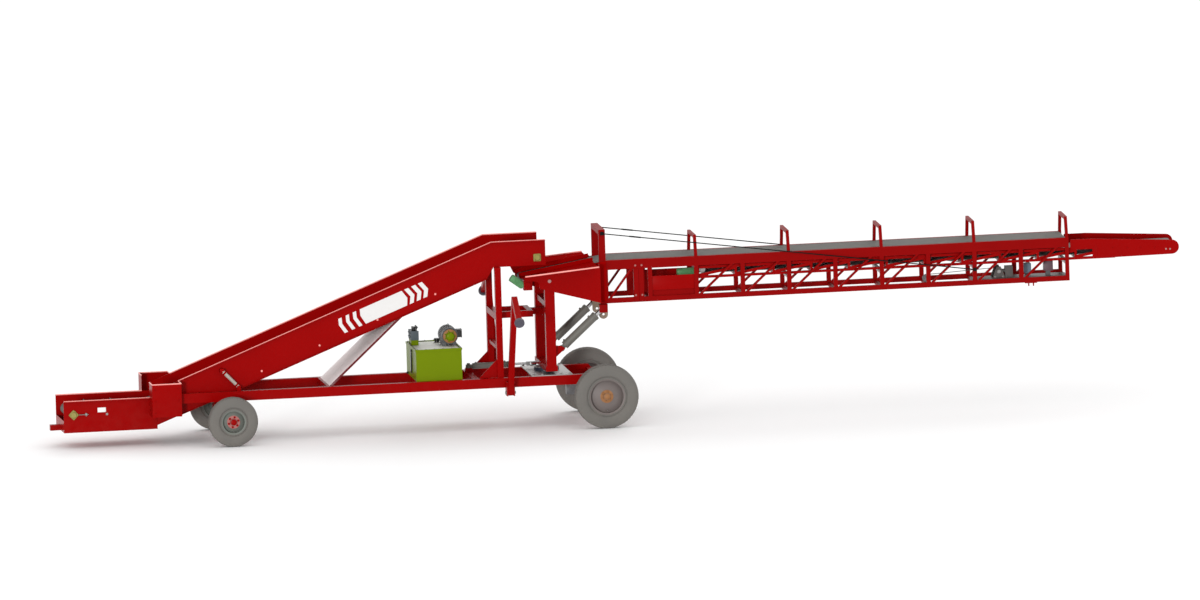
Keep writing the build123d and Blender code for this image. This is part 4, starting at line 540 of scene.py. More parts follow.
def bar(start, end, radius, sides=20):
    """A round bar between two points, its ends eased in to six tenths of the radius."""
    start, run = np.array(start), np.array(end) - np.array(start)
    length = np.linalg.norm(run)
    eased = [(0.0, 0.6 * radius), (0.4 * radius, radius), (length - 0.4 * radius, radius),
             (length, 0.6 * radius)]
    return turned(eased, start, run, sides)


trough_y, wall_y = trough_low[1] + SHEET_T / 2.0, wall_low[1] + SHEET_T / 2.0
guard_x = (guard_low[0] + SHEET_T / 2.0, guard_high[0] - SHEET_T / 2.0)
guard_y, guard_top = guard_high[1] - SHEET_T / 2.0, guard_high[2] + BEAD_LIFT
trough_edge = [(x, trough_y, trough_high[2] + BEAD_LIFT) for x in (trough_low[0] + TROUGH_INSET, guard_x[0])]
guard_edge = [(guard_x[0], GUARD_ENDS_Y[0], guard_top), (guard_x[0], guard_y, guard_top),
              (guard_x[1], guard_y, guard_top), (guard_x[1], GUARD_ENDS_Y[1], guard_top)]
wall_edge = [(WALL_START[0], wall_y, WALL_START[1]), (KNEE_TOP_X, wall_y, wall_high[2]),
             (wall_high[0] - HEAD_INSET, wall_y, wall_high[2])]
beads = []
for side in (-1, 1):
    for edge in (trough_edge, guard_edge, wall_edge):
        line = [(x, side * y, z) for x, y, z in edge]
        beads += [bar(a, b, BEAD_R, 12) for a, b in zip(line[:-1], line[1:])]
piece("wall_beads", beads, edge_painted_highlight, "red_paint", "chassis")

# Elevator: side walls of folded red sheet on a bed of welded cross tubes and sheet, with pulleys and return
# idlers of plain steel tube between them
dress(red_paint, "elevator_wall_right", "elevator_wall_left", "elevator_bed")
dress(bare_steel, "elevator_pulleys")

# Elevator belt: one endless band of fabric-backed rubber with moulded cleats, pale with dry soil, run over
# the tail and head pulleys
BELT = (0.100, 0.096, 0.089)
belt_rubber = finish("belt_rubber", BELT, 0.72, ior=1.3, dust_and_sheen=0.1, mottle=0.12, mottle_scale=1.2,
                     grain_scale=420.0, grain_depth=0.0012)
dress(belt_rubber, "elevator_belt")

# Return idlers: each shaft comes through the elevator walls and is held on both sides by a nut, painted
# over with the wall; the nuts' pale pink is a painted highlight
FIRST_IDLER, IDLER_STEP, IDLERS, IDLER_NUT = (-5.3983, 1.0454), (0.888, 0.3444), 4, (0.020, 0.012)
wall_face_y = wall_low[1] + SHEET_T
idler_places = [(FIRST_IDLER[0] + IDLER_STEP[0] * i, FIRST_IDLER[1] + IDLER_STEP[1] * i)
                for i in range(IDLERS)]
piece("idler_nuts", heads_both_sides(idler_places, wall_face_y, IDLER_NUT), edge_painted_highlight, "red_paint", "chassis")

# White bands: cut film stuck on both elevator walls, three chevrons on each side of a bare panel whose ends
# are pointed like them; places run along and across the slope from the top of the bend
INCLINE = math.radians(21.2)
BAND_TOP, BAND_BOTTOM, FILM = -0.124, -0.362, 0.0008
FRONT_BEND, REAR_BEND = -0.218, -0.257
CHEVRONS = [((-2.593, -2.472, -2.355), FRONT_BEND, (0.027, 0.035), 0.054),
            ((-1.367, -1.253, -1.143), REAR_BEND, (-0.047, -0.056), -0.066)]
PANEL = [(-2.212, BAND_TOP), (-2.240, FRONT_BEND), (-2.211, BAND_BOTTOM), (-1.531, BAND_BOTTOM),
         (-1.484, REAR_BEND), (-1.523, BAND_TOP)]
outlines = [PANEL]
for tips, bend, (top_lean, bottom_lean), stripe in CHEVRONS:
    for tip in tips:
        edge = [(tip + top_lean, BAND_TOP), (tip, bend), (tip + bottom_lean, BAND_BOTTOM)]
        outlines.append(edge + [(s + stripe, t) for s, t in reversed(edge)])
films = []
for side in (-1, 1):
    for outline in outlines:
        s, t = np.array(outline).T
        flat = np.stack([KNEE_TOP_X + s * math.cos(INCLINE) - t * math.sin(INCLINE),
                         np.full(len(s), side * wall_face_y),
                         wall_high[2] + s * math.sin(INCLINE) + t * math.cos(INCLINE)], -1)
        films.append(skin(np.stack([flat, flat + (0.0, side * FILM, 0.0)])))
white_film = finish("white_film", (0.62, 0.61, 0.60), 0.35, ior=1.35, dust_and_sheen=0.06, mottle=0.05)
piece("white_bands", films, white_film, "motor_grey", "chassis")

# Elevator drive: a green cast worm gearbox on the left wall with a cover and four bolts, and its finned
# motor flanged on in front
GREEN = (0.085, 0.230, 0.096)
GEAR_LOW, GEAR_HIGH = (-1.261, 0.440, 2.482), (-1.091, 0.580, 2.652)
GEAR_COVER, GEAR_COVER_AT = [(0.0, 0.05), (0.01, 0.05), (0.012, 0.045)], (-1.176, 0.572, 2.567)
GEAR_MOTOR_AT, GEAR_MOTOR_LENGTH, GEAR_MOTOR_R = (-1.258, 0.510, 2.567), 0.280, 0.066
GEAR_HEAD = (0.017, 0.009)
motor_green = finish("motor_green", GREEN, 0.34, ior=1.35, dust_and_sheen=0.08, mottle=0.2, mottle_scale=6.0)
gear_face = [(x, 0.578, z) for x in (-1.241, -1.111) for z in (2.502, 2.632)]
piece("elevator_drive_body", [block(GEAR_LOW, GEAR_HIGH, 0.018),
                              *motor(GEAR_MOTOR_AT, (-1, 0, 0), GEAR_MOTOR_LENGTH, GEAR_MOTOR_R),
                              turned(GEAR_COVER, GEAR_COVER_AT, (0, 1, 0)),
                              *hex_heads(gear_face, (0, 1, 0), GEAR_HEAD)],
      motor_green, "motor_green", "chassis", "elevator_drive")

# Tie rods: bright round bars from the elevator walls down to the beams, screwed into red welded lugs with a
# lock nut at each end
TIE_LOW, TIE_HIGH, TIE_Y, TIE_R = np.array((-5.765, 0.830)), np.array((-6.009, 1.089)), 0.515, 0.027
TIE_NUT, TIE_NUT_SHARES = [(-0.014, 0.029), (-0.012, 0.034), (0.012, 0.034), (0.014, 0.029)], (0.14, 0.86)
LUG_HALF_X = 0.030
TIE_LUGS = [(TIE_LOW[0], (TIE_Y - TIE_R, TIE_Y + TIE_R), (0.775, 0.856)),
            (TIE_HIGH[0], (wall_face_y, 0.541), (1.060, 1.118))]
tie_length = np.linalg.norm(TIE_HIGH - TIE_LOW)
tie_run = (TIE_HIGH - TIE_LOW) / tie_length
tie_axis = (tie_run[0], 0.0, tie_run[1])
tie_bars, tie_lugs = [], []
for side in (-1, 1):
    tie_foot = (TIE_LOW[0], side * TIE_Y, TIE_LOW[1])
    tie_bars.append(turned([(0.01, TIE_R), (tie_length - 0.01, TIE_R)], tie_foot, tie_axis))
    tie_lugs += [block((x - LUG_HALF_X, side * y[0], z[0]), (x + LUG_HALF_X, side * y[1], z[1]), 0.005)
                 for x, y, z in TIE_LUGS]
    for share in TIE_NUT_SHARES:
        x, z = TIE_LOW + share * (TIE_HIGH - TIE_LOW)
        tie_lugs.append(turned(TIE_NUT, (x, side * TIE_Y, z), tie_axis, 6))
tie_bright = finish("tie_bright", (0.40, 0.35, 0.31), 0.35, metallic=0.3, dust_and_sheen=0.1, mottle=0.25,
                    mottle_scale=10.0)
piece("tie_bars", tie_bars, tie_bright, "bare_steel", "chassis", "infeed_ties")
piece("tie_lugs", tie_lugs, red_paint, "red_paint", "chassis")

# Hydraulic tank: a welded olive box with a recessed lid held by screws round its rim, its pale grey a painted
# reflection of the sky, a dark filler cap, and a long level glass and a drain plug in its front end
OLIVE = (0.125, 0.180, 0.0012)
RIM, LID_DROP, LID_T, SCREW_INSET, LID_SCREW = 0.022, 0.016, 0.004, 0.011, (0.013, 0.008)
FILLER = [(0.0, 0.05), (0.006, 0.05), (0.007, 0.036), (0.03, 0.036), (0.032, 0.046), (0.058, 0.046),
          (0.064, 0.04), (0.065, 0.01)]
FILLER_X, FILLER_Y = -2.62, 0.33
GLASS_Y, GLASS_Z, GLASS_OUT, GLASS_IN = (-0.065, -0.015), (0.850, 1.205), 0.012, 0.009
PLUG, PLUG_Y, PLUG_Z = [(-GLASS_IN, 0.022), (0.01, 0.022), (0.012, 0.015), (0.022, 0.014)], 0.35, 0.800
tank_green = finish("tank_green", OLIVE, 0.3, ior=1.14, dust_and_sheen=0.02, mottle=0.14)
lid_painted_reflection = finish("lid_painted_reflection", (0.72, 0.74, 0.66), 0.4, ior=1.45, dust_and_sheen=0.1, mottle=0.12)
glass_dark = finish("glass_dark", (0.012, 0.013, 0.012), 0.15, ior=1.45, dust_and_sheen=0.05)
dress(tank_green, "hydraulic_tank")
tank_low, tank_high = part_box("hydraulic_tank")
lid_z = tank_high[2] - LID_DROP
screw_low, screw_high = np.array(tank_low) + SCREW_INSET, np.array(tank_high) - SCREW_INSET
screws_x, screws_y = np.linspace(-3.04, -2.39, 6), np.linspace(-0.38, 0.38, 6)
lid_screws = [(x, y, tank_high[2]) for y in (screw_low[1], screw_high[1]) for x in screws_x]
lid_screws += [(x, y, tank_high[2]) for x in (screw_low[0], screw_high[0]) for y in screws_y]
piece("tank_lid", [block((tank_low[0] + RIM, tank_low[1] + RIM, lid_z - 0.001),
                         (tank_high[0] - RIM, tank_high[1] - RIM, lid_z - 0.001 + LID_T), 0.002)],
      lid_painted_reflection, "tank_green", "chassis")
piece("tank_screws", hex_heads(lid_screws, (0, 0, 1), LID_SCREW), bare_steel, "bare_steel", "chassis")
piece("tank_filler", [turned(FILLER, (FILLER_X, FILLER_Y, lid_z + 0.002), (0, 0, 1), 28)], glass_dark,
      "pump_grey", "chassis")
piece("level_glass", [block((tank_low[0] - GLASS_OUT, GLASS_Y[0], GLASS_Z[0]),
                            (tank_low[0] + GLASS_IN, GLASS_Y[1], GLASS_Z[1]), 0.006),
                      turned(PLUG, (tank_low[0], PLUG_Y, PLUG_Z), (-1, 0, 0), 6)],
      glass_dark, "pump_grey", "chassis")

# Pump set: a grey finned electric motor on four feet on the tank's lid, an ochre bell ring and an olive
# pump end bolted to its right, with a dark terminal box on its side and a lifting eye on top
PUMP, PUMP_R, PUMP_LENGTH, PUMP_FRONT_Y, BELL_Y = np.array((-2.490, 0.0, 1.389)), 0.136, 0.320, -0.12, -0.16
PUMP_FINS, FEET_X, FEET_Y, FEET_HALF, FEET_HEIGHT = (34, 0.011), 0.074, (-0.06, 0.14), (0.030, 0.045), 0.055
EYE_R, EYE_WIRE, EYE_Y, EYE_LIFT = 0.015, 0.0045, 0.04, 0.012
BELL = [(0.0, 0.100), (0.008, 0.104), (0.034, 0.104), (0.040, 0.092), (0.041, 0.05)]
PUMP_END = [(0.0, 0.068), (0.02, 0.068), (0.026, 0.060), (0.050, 0.058), (0.058, 0.046), (0.060, 0.02)]
BELL_BOLTS, BELL_BOLT_R, BELL_HEAD = 7, 0.080, (0.014, 0.009)
TERMINAL_LOW, TERMINAL_HIGH = (-2.372, -0.030, 1.349), (-2.298, 0.090, 1.469)
COVER_LOW, COVER_HIGH = (-2.299, -0.036, 1.343), (-2.290, 0.096, 1.475)
pump_grey = finish("pump_grey", (0.088, 0.092, 0.094), 0.4, ior=1.35, dust_and_sheen=0.08, mottle=0.2, mottle_scale=6.0)
eye_angle = np.linspace(0.0, 2.0 * np.pi, 28, endpoint=False)
wire_angle = np.linspace(0.0, 2.0 * np.pi, 12, endpoint=False)
eye_reach = EYE_R + EYE_WIRE * np.cos(wire_angle)
eye = np.stack([PUMP[0] + np.cos(eye_angle)[:, None] * eye_reach,
                np.broadcast_to(EYE_Y + EYE_WIRE * np.sin(wire_angle), (28, 12)),
                PUMP[2] + PUMP_R + EYE_LIFT + np.sin(eye_angle)[:, None] * eye_reach], -1)
feet = [block((PUMP[0] + a * FEET_X - FEET_HALF[0], y - FEET_HALF[1], lid_z),
              (PUMP[0] + a * FEET_X + FEET_HALF[0], y + FEET_HALF[1], lid_z + FEET_HEIGHT), 0.006)
        for a in (-1, 1) for y in FEET_Y]
bell_angle = np.arange(BELL_BOLTS) * 2.0 * np.pi / BELL_BOLTS
bell_places = PUMP + np.stack([BELL_BOLT_R * np.cos(bell_angle), np.full(BELL_BOLTS, BELL_Y),
                               BELL_BOLT_R * np.sin(bell_angle)], -1)
pump_body = motor(PUMP + (0, PUMP_FRONT_Y, 0), (0, 1, 0), PUMP_LENGTH, PUMP_R, *PUMP_FINS)
piece("pump_motor_body", [*pump_body, *feet, skin(eye, closed=True)], pump_grey, "pump_grey", "chassis",
      "pump_motor")
piece("pump_bell_ring", [turned(BELL, PUMP + (0, PUMP_FRONT_Y, 0), (0, -1, 0))], hub_ochre, "pump_grey",
      "chassis")
piece("pump_end", [turned(PUMP_END, PUMP + (0, BELL_Y, 0), (0, -1, 0)),
                   *hex_heads(bell_places, (0, -1, 0), BELL_HEAD)], tank_green, "tank_green", "chassis")
piece("terminal_box", [block(TERMINAL_LOW, TERMINAL_HIGH, 0.008, along=0),
                       block(COVER_LOW, COVER_HIGH, 0.004, along=0)], glass_dark, "pump_grey", "chassis")

# Valve bank: six blue-grey cast sections clamped between end plates on an olive foot on the lid, each with
# two work ports and a spool lever, and one dark relief cap
VALVE_TOP, VALVE_FOOT_TOP, SECTIONS, END_PLATE_T, PORTS_Z = 1.458, 1.318, 6, 0.012, (1.36, 1.42)
PORT = [(0.0, 0.014), (0.01, 0.014), (0.012, 0.011), (0.02, 0.011)]
LEVER = [(0.0, 0.005), (0.052, 0.0045), (0.054, 0.009), (0.062, 0.011), (0.069, 0.008), (0.071, 0.002)]
RELIEF = [(0.0, 0.036), (0.012, 0.036), (0.014, 0.028), (0.05, 0.028), (0.056, 0.034), (0.066, 0.033),
          (0.07, 0.02)]
LEVER_X, LEVER_LEAN, RELIEF_X, RELIEF_Y = -2.955, (0.25, 0, 1), -2.995, 0.180
valve_blue = finish("valve_blue", (0.070, 0.088, 0.100), 0.4, ior=1.35, dust_and_sheen=0.1, mottle=0.2,
                    mottle_scale=8.0)
valve_low, valve_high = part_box("valve_bank")
valve_x, valve_y = (valve_low[0], valve_high[0]), (valve_low[1], valve_high[1])
section_edges = np.linspace(valve_y[0] + END_PLATE_T, valve_y[1] - END_PLATE_T, SECTIONS + 1)
sections = [block((valve_x[0] + 0.008, a + 0.001, VALVE_FOOT_TOP),
                  (valve_x[1] - 0.008, b - 0.001, VALVE_TOP - 0.006), 0.006)
            for a, b in zip(section_edges[:-1], section_edges[1:])]
sections += [block((valve_x[0], y, VALVE_FOOT_TOP), (valve_x[1], y + END_PLATE_T, VALVE_TOP), 0.003)
             for y in (valve_y[0], valve_y[1] - END_PLATE_T)]
middles = (section_edges[:-1] + section_edges[1:]) / 2.0
ports = [turned(PORT, (valve_x[0] + 0.010, y, z), (-1, 0, 0), 6) for y in middles for z in PORTS_Z]
levers = [turned(LEVER, (LEVER_X, y, VALVE_TOP - 0.008), LEVER_LEAN, 14) for y in middles]
relief = turned(RELIEF, (RELIEF_X, RELIEF_Y, VALVE_TOP - 0.006), (0, 0, 1), 24)
piece("valve_sections", sections + ports, valve_blue, "pump_grey", "chassis", "valve_bank")
piece("valve_foot", [block((valve_x[0] + 0.004, valve_y[0] + 0.004, valve_low[2]),
                           (valve_x[1] - 0.004, valve_y[1] - 0.004, VALVE_FOOT_TOP + 0.001), 0.005)],
      tank_green, "tank_green", "chassis")
piece("valve_levers", [*levers, relief], glass_dark, "pump_grey", "chassis")

# Slewing gear: a plain steel base plate bolted across the beams, and a dark blue turntable ring under the
# column, with a circle of bolts where the bolster leaves it open
SLEW_X, BASE_TOP, RING_TOP, RING_BOLT_R = -1.020, 0.790, 0.8403, 0.166
BASE_BOLTS_X, BASE_BOLTS_Y = (-0.275, -0.14, 0.14, 0.275), (-0.54, 0.54)
BASE_HEAD, RING_HEAD = (0.032, 0.018), (0.022, 0.012)
RING_CLOCK = np.radians([-44, -22, 0, 22, 44, 136, 158, 180, 202, 224])
turntable_navy = finish("turntable_navy", (0.018, 0.021, 0.034), 0.38, ior=1.35, dust_and_sheen=0.1)
dress(turntable_navy, "turntable")
dress(bare_steel, "slew_base")
base_places = [(SLEW_X + a, y, BASE_TOP) for a in BASE_BOLTS_X for y in BASE_BOLTS_Y]
ring_places = np.stack([SLEW_X + RING_BOLT_R * np.cos(RING_CLOCK), RING_BOLT_R * np.sin(RING_CLOCK),
                        np.full(len(RING_CLOCK), RING_TOP)], -1)
piece("base_bolts", hex_heads(base_places, (0, 0, 1), BASE_HEAD), bare_steel, "bare_steel", "chassis")
piece("turntable_bolts", hex_heads(ring_places, (0, 0, 1), RING_HEAD), bare_steel, "bare_steel", "column")

# Slew cylinder: a grey tube with a screwed gland and two port bosses, and a chromed rod, pinned between the
# chassis cross tube and the bolster
CYLINDER_GREY = (0.118, 0.112, 0.098)
SLEW_PIVOT = np.array((-2.165, 0.250, 0.865))
SLEW_GLAND_AT, SLEW_PORTS_AT, SLEW_PORT_LIFT = 0.620, (0.11, 0.55), 0.040
SLEW_GLAND = [(-0.034, 0.0445), (-0.032, 0.049), (-0.003, 0.049), (0.0, 0.045), (0.004, 0.030),
              (0.004, 0.021)]
PORT_BOSS = [(0.0, 0.017), (0.012, 0.016), (0.014, 0.012), (0.020, 0.012), (0.021, 0.007)]
SLEW_PIN = [(-0.047, 0.02), (-0.045, 0.024), (0.045, 0.024), (0.047, 0.02)]
cylinder_grey = finish("cylinder_grey", CYLINDER_GREY, 0.33, ior=1.35, dust_and_sheen=0.1, mottle=0.15)
rod_chrome = finish("rod_chrome", (0.52, 0.52, 0.52), 0.14, metallic=1.0, dust_and_sheen=0.0, mottle=0.05,
                    grain_depth=0.0001)
dress(cylinder_grey, "slew_barrel")
dress(rod_chrome, "slew_rod")
slew_ports = [turned(PORT_BOSS, SLEW_PIVOT + (a, 0, SLEW_PORT_LIFT), (0, 0, 1), 18) for a in SLEW_PORTS_AT]
piece("slew_gland", [turned(SLEW_GLAND, SLEW_PIVOT + (SLEW_GLAND_AT, 0, 0), (1, 0, 0)), *slew_ports,
                     turned(SLEW_PIN, SLEW_PIVOT, (0, 0, 1), 24)],
      cylinder_grey, "cylinder_grey", "slew_cylinder_barrel")

# Column: two red posts welded to a bolster on the turntable, standing inside the hopper's skirts, with the
# boom's hinge pins at their heads
dress(red_paint, "slew_column")

# Lift cylinders: a pair of grey tubes with screwed glands, port bosses and a collar above the lower eye,
# and chromed rods pinned to the mast's foot
LIFT_LOW, LIFT_HIGH, LIFT_Y = np.array((-0.845, 0.0, 1.165)), np.array((-0.215, 0.0, 1.725)), 0.442
LIFT_GLAND_AT, LIFT_PORTS_AT, LIFT_PORT_OUT, COLLAR_AT = 0.715, (0.11, 0.62), 0.058, 0.075
LIFT_GLAND = [(-0.045, 0.0615), (-0.042, 0.067), (-0.004, 0.067), (0.0, 0.062), (0.006, 0.044),
              (0.006, 0.031)]
COLLAR = [(0.0, 0.064), (0.012, 0.064), (0.014, 0.0625)]
dress(cylinder_grey, "lift_barrels")
dress(rod_chrome, "lift_rods")
lift_run = (LIFT_HIGH - LIFT_LOW) / np.linalg.norm(LIFT_HIGH - LIFT_LOW)
lift_across = np.array((-lift_run[2], 0.0, lift_run[0]))
glands = []
for side in (-1, 1):
    foot = LIFT_LOW + (0.0, side * LIFT_Y, 0.0)
    glands.append(turned(LIFT_GLAND, foot + LIFT_GLAND_AT * lift_run, lift_run))
    glands += [turned(PORT_BOSS, foot + a * lift_run + LIFT_PORT_OUT * lift_across, lift_across, 18)
               for a in LIFT_PORTS_AT]
    glands.append(turned(COLLAR, foot + COLLAR_AT * lift_run, lift_run))
piece("lift_glands", glands, cylinder_grey, "cylinder_grey", "lift_barrel_pair")

# Boom: welded red lattice sides with a bed, ties, hoops and hopper boards, a mast over its hinge end with
# bare bronze-coloured lugs, and a plain rubber belt on steel pulleys
boom_red = finish("boom_red", (0.205, 0.0022, 0.0022), 0.34, ior=1.08, dust_and_sheen=0.03, mottle=0.2,
                  grain_scale=220.0)
hopper_red = finish("hopper_red", RED, 0.75, ior=1.02, dust_and_sheen=0.0, mottle=0.16)
lug_bronze = finish("lug_bronze", (0.20, 0.150, 0.110), 0.42, metallic=0.4, dust_and_sheen=0.1, mottle=0.5,
                    mottle_scale=16.0)
dress(boom_red, "mast_hoop", "boom_side_right", "boom_side_left", "boom_bed", "boom_ties", "boom_hoops")
dress(hopper_red, "boom_hopper")
dress(lug_bronze, "mast_lugs")
dress(bare_steel, "boom_pulleys")
dress(belt_rubber, "boom_belt")

# Hopper skirts: folded red plates under the boards that close the hopper outside the column's posts, with a
# web to the mast at their rear end and the hinge pin's cap on their faces, pale pink as a painted highlight
HINGE_X, HINGE_Z, SKIRT_Y, SKIRT_T = -1.020, 2.208, 0.582, 0.006
SKIRT_OUTLINE = [(-1.400, 2.274), (-1.400, 2.240), (-1.195, 2.205), (-1.165, 2.098), (-0.246, 1.840),
                 (-0.246, 2.412), (-0.305, 2.414)]
WEB_X, WEB_Y, WEB_Z = (-0.254, -0.247), (0.384, SKIRT_Y + 0.003), (1.842, 2.412)
HINGE_CAP = [(0.0, 0.027), (0.006, 0.027), (0.010, 0.024), (0.014, 0.016), (0.015, 0.004)]
skirt_x, skirt_z = np.array(SKIRT_OUTLINE).T
skirts, hinge_caps = [], []
for side in (-1, 1):
    sheet = np.stack([skirt_x, np.full(len(skirt_x), side * SKIRT_Y), skirt_z], -1)
    skirts.append(skin(np.stack([sheet, sheet + (0.0, side * SKIRT_T, 0.0)])))
    skirts.append(block((WEB_X[0], side * WEB_Y[0], WEB_Z[0]), (WEB_X[1], side * WEB_Y[1], WEB_Z[1]), 0.002))
    hinge_caps.append(turned(HINGE_CAP, (HINGE_X, side * (SKIRT_Y + SKIRT_T), HINGE_Z), (0, side, 0), 32))
cap_painted_highlight = finish("cap_painted_highlight", (0.36, 0.20, 0.19), 0.4, ior=1.3, dust_and_sheen=0.1, mottle=0.2, mottle_scale=12.0)
piece("hopper_skirts", skirts, red_paint, "red_paint", "boom")
piece("hinge_caps", hinge_caps, cap_painted_highlight, "bare_steel", "boom")

# Hopper lips and skirting boards: a rolled lip stiffens the outer edge of each board, and an angle at its
# inner edge laps over the edge of the belt and stands up beside it, so that nothing falls off
BOARD_X, BOARD_OUT_Z, BOARD_IN_Z = (-1.430, -0.305), (2.326, 2.420), (2.2384, 2.4203)
LIP_Y, LIP_R, LIP_LIFT, SKIRTING_TOP = 0.894, 0.011, 0.008, 0.066
SKIRTING = np.array([(0.342, 0.000), (0.229, 0.003), (0.229, SKIRTING_TOP), (0.235, SKIRTING_TOP),
                     (0.235, 0.009), (0.342, 0.006)])
lips, skirtings = [], []
for side in (-1, 1):
    lips.append(bar(*[(x, side * LIP_Y, z + LIP_LIFT) for x, z in zip(BOARD_X, BOARD_OUT_Z)], LIP_R))
    ends = [np.stack([np.full(len(SKIRTING), x), side * SKIRTING[:, 0], z + SKIRTING[:, 1]], -1)
            for x, z in zip(BOARD_X, BOARD_IN_Z)]
    skirtings.append(skin(np.stack(ends)))
# the lips are pale pink, a painted highlight along the outer edge of each board
piece("hopper_lips", lips, edge_painted_highlight, "red_paint", "boom")
piece("hopper_skirtings", skirtings, hopper_red, "red_paint", "boom")

# Lift pin forks: on the mast's foot a red outer plate on each side, with a short web over it, closes the
# welded fork round the eye of the lift rod
FORK_X, FORK_Z, FORK_T = (-0.262, -0.132), (1.678, 1.800), 0.008
FORK_INNER_Y, FORK_PLATE_Y = 0.386, (0.474, 0.482)
forks = []
for side in (-1, 1):
    near, far = side * FORK_PLATE_Y[0], side * FORK_PLATE_Y[1]
    forks.append(block((FORK_X[0], near, FORK_Z[0]), (FORK_X[1], far, FORK_Z[1]), 0.003, along=1))
    inner = side * FORK_INNER_Y
    forks.append(block((FORK_X[0], inner, FORK_Z[1] - FORK_T), (FORK_X[1], far, FORK_Z[1]), 0.003))
piece("lift_pin_forks", forks, boom_red, "red_paint", "boom")

# Splice plates of the boom sides: bolts at the head and foot of each plate, pale pink as a painted highlight,
# and a red cover sheet let into the next bay of the lattice
SPLICE_FACE_Y, SPLICE_HEAD = 0.393, (0.020, 0.010)
COVER_X, COVER_Y, COVER_Z = (0.545, 1.230), (0.370, 0.376), (1.965, 2.178)
splice_places = [(x, z) for x in (0.313, 0.410) for z in (1.905, 2.355)]
covers = [block((COVER_X[0], side * COVER_Y[0], COVER_Z[0]), (COVER_X[1], side * COVER_Y[1], COVER_Z[1]),
                0.002, along=1) for side in (-1, 1)]
piece("bay_covers", covers, red_paint, "red_paint", "boom")
piece("splice_bolts", heads_both_sides(splice_places, SPLICE_FACE_Y, SPLICE_HEAD), hub_red, "bare_steel",
      "boom")

# Stays: dark round steel bars from the mast head to the lower lattice, each with a turnbuckle and its lock
# nuts near the mast to draw it tight
STAY_TOP, STAY_FOOT = np.array((-0.180, 0.0, 2.862)), np.array((5.460, 0.0, 2.040))
STAY_Y, BUCKLE_AT = 0.405, 0.42
BUCKLE = [(0.0, 0.0085), (0.003, 0.011), (0.022, 0.011), (0.026, 0.0115), (0.150, 0.0115), (0.154, 0.011),
          (0.173, 0.011), (0.176, 0.0085)]
stay_dark = finish("stay_dark", (0.007, 0.008, 0.008), 0.6, ior=1.1, dust_and_sheen=0.0)
dress(stay_dark, "boom_stays")
stay_run = (STAY_FOOT - STAY_TOP) / np.linalg.norm(STAY_FOOT - STAY_TOP)
buckles = [turned(BUCKLE, STAY_TOP + (0.0, side * STAY_Y, 0.0) + BUCKLE_AT * stay_run, stay_run, 12)
           for side in (-1, 1)]
piece("stay_turnbuckles", buckles, stay_dark, "bare_steel", "boom")

# Boom drive: a red cast worm gearbox bolted under the hopper with a round cover, and its green finned
# motor, leaning back and up
DRIVE_FOOT, DRIVE_RUN = np.array((-1.380, -0.457, 2.120)), np.array((-0.7986, 0.0, 0.6018))
BOOM_MOTOR_START, BOOM_MOTOR_LENGTH, BOOM_MOTOR_R, SMALL_FINS = 0.025, 0.235, 0.058, (22, 0.006)
BOOM_GEAR_COVER = [(0.0, 0.045), (0.008, 0.045), (0.012, 0.040), (0.012, 0.02)]
BOOM_GEAR_AT, BOOM_GEAR_HEAD = (-1.335, -0.516, 2.155), (0.015, 0.009)
dress(red_paint, "boom_gearbox")
motor_start = DRIVE_FOOT + BOOM_MOTOR_START * DRIVE_RUN
piece("boom_motor", motor(motor_start, DRIVE_RUN, BOOM_MOTOR_LENGTH, BOOM_MOTOR_R, *SMALL_FINS),
      motor_green, "motor_green", "boom", "boom_drive")
gear_places = [(x, -0.517, z) for x in (-1.385, -1.285) for z in (2.09, 2.22)]
piece("gearbox_bolts", [*hex_heads(gear_places, (0, -1, 0), BOOM_GEAR_HEAD),
                        turned(BOOM_GEAR_COVER, BOOM_GEAR_AT, (0, -1, 0))], red_paint, "red_paint", "boom")

# Telescope winch: a grey drum between tapered cheeks with its gear case; twelve turns of steel rope lie on
# the drum, and the rope runs taut to a sheave on the next tie
WINCH_X, WINCH_Z, DRUM_R, ROPE_R, ROPE_TURNS, ROPE_END_Y = 5.861, 1.955, 0.050, 0.005, 12, 0.078
SHEAVE, WRAP_R, ROPE_FOOT_Z = np.array((4.7565, 0.0, 1.905)), 0.048, 1.852
GROOVE = [(-0.012, 0.052), (-0.009, 0.054), (-0.004, 0.043), (0.004, 0.043), (0.009, 0.054), (0.012, 0.052)]
STRAP_HALF, STRAP_T, STRAPS_Y, STRAP_FOOT_Z, STRAP_LIFT = 0.022, 0.006, (-0.098, -0.064), 1.845, 0.024
CHEEK_Y, CHEEK_BOLT_X, CHEEK_BOLT_Z = -0.127, (-0.06, 0.06), 1.872
SHAFT_CAP = [(0.0, 0.03), (0.01, 0.03), (0.014, 0.024), (0.014, 0.008)]
SHEAVE_HEAD, CHEEK_HEAD = (0.024, 0.012), (0.020, 0.011)
winch_grey = finish("winch_grey", (0.085, 0.078, 0.072), 0.42, ior=1.35, dust_and_sheen=0.1, mottle=0.25,
                    mottle_scale=6.0)
rope_grey = finish("rope_grey", (0.045, 0.043, 0.040), 0.45, metallic=0.5, dust_and_sheen=0.05, mottle=0.3,
                   mottle_scale=60.0)
dress(winch_grey, "boom_winch")


def rod(path, radius, sides=10):
    """A round bar along points: at each one a circle across the direction from its last to its next point."""
    path = np.array(path, float)
    ahead = np.gradient(path, axis=0)
    ahead /= np.linalg.norm(ahead, axis=1)[:, None]
    across = np.cross(ahead, (0.0, 1.0, 0.0))
    across /= np.linalg.norm(across, axis=1)[:, None]
    angle = np.linspace(0.0, 2.0 * np.pi, sides, endpoint=False)
    upright = np.cross(ahead, across)
    circle = np.cos(angle)[:, None] * across[:, None] + np.sin(angle)[:, None] * upright[:, None]
    return skin(path[:, None] + radius * circle)


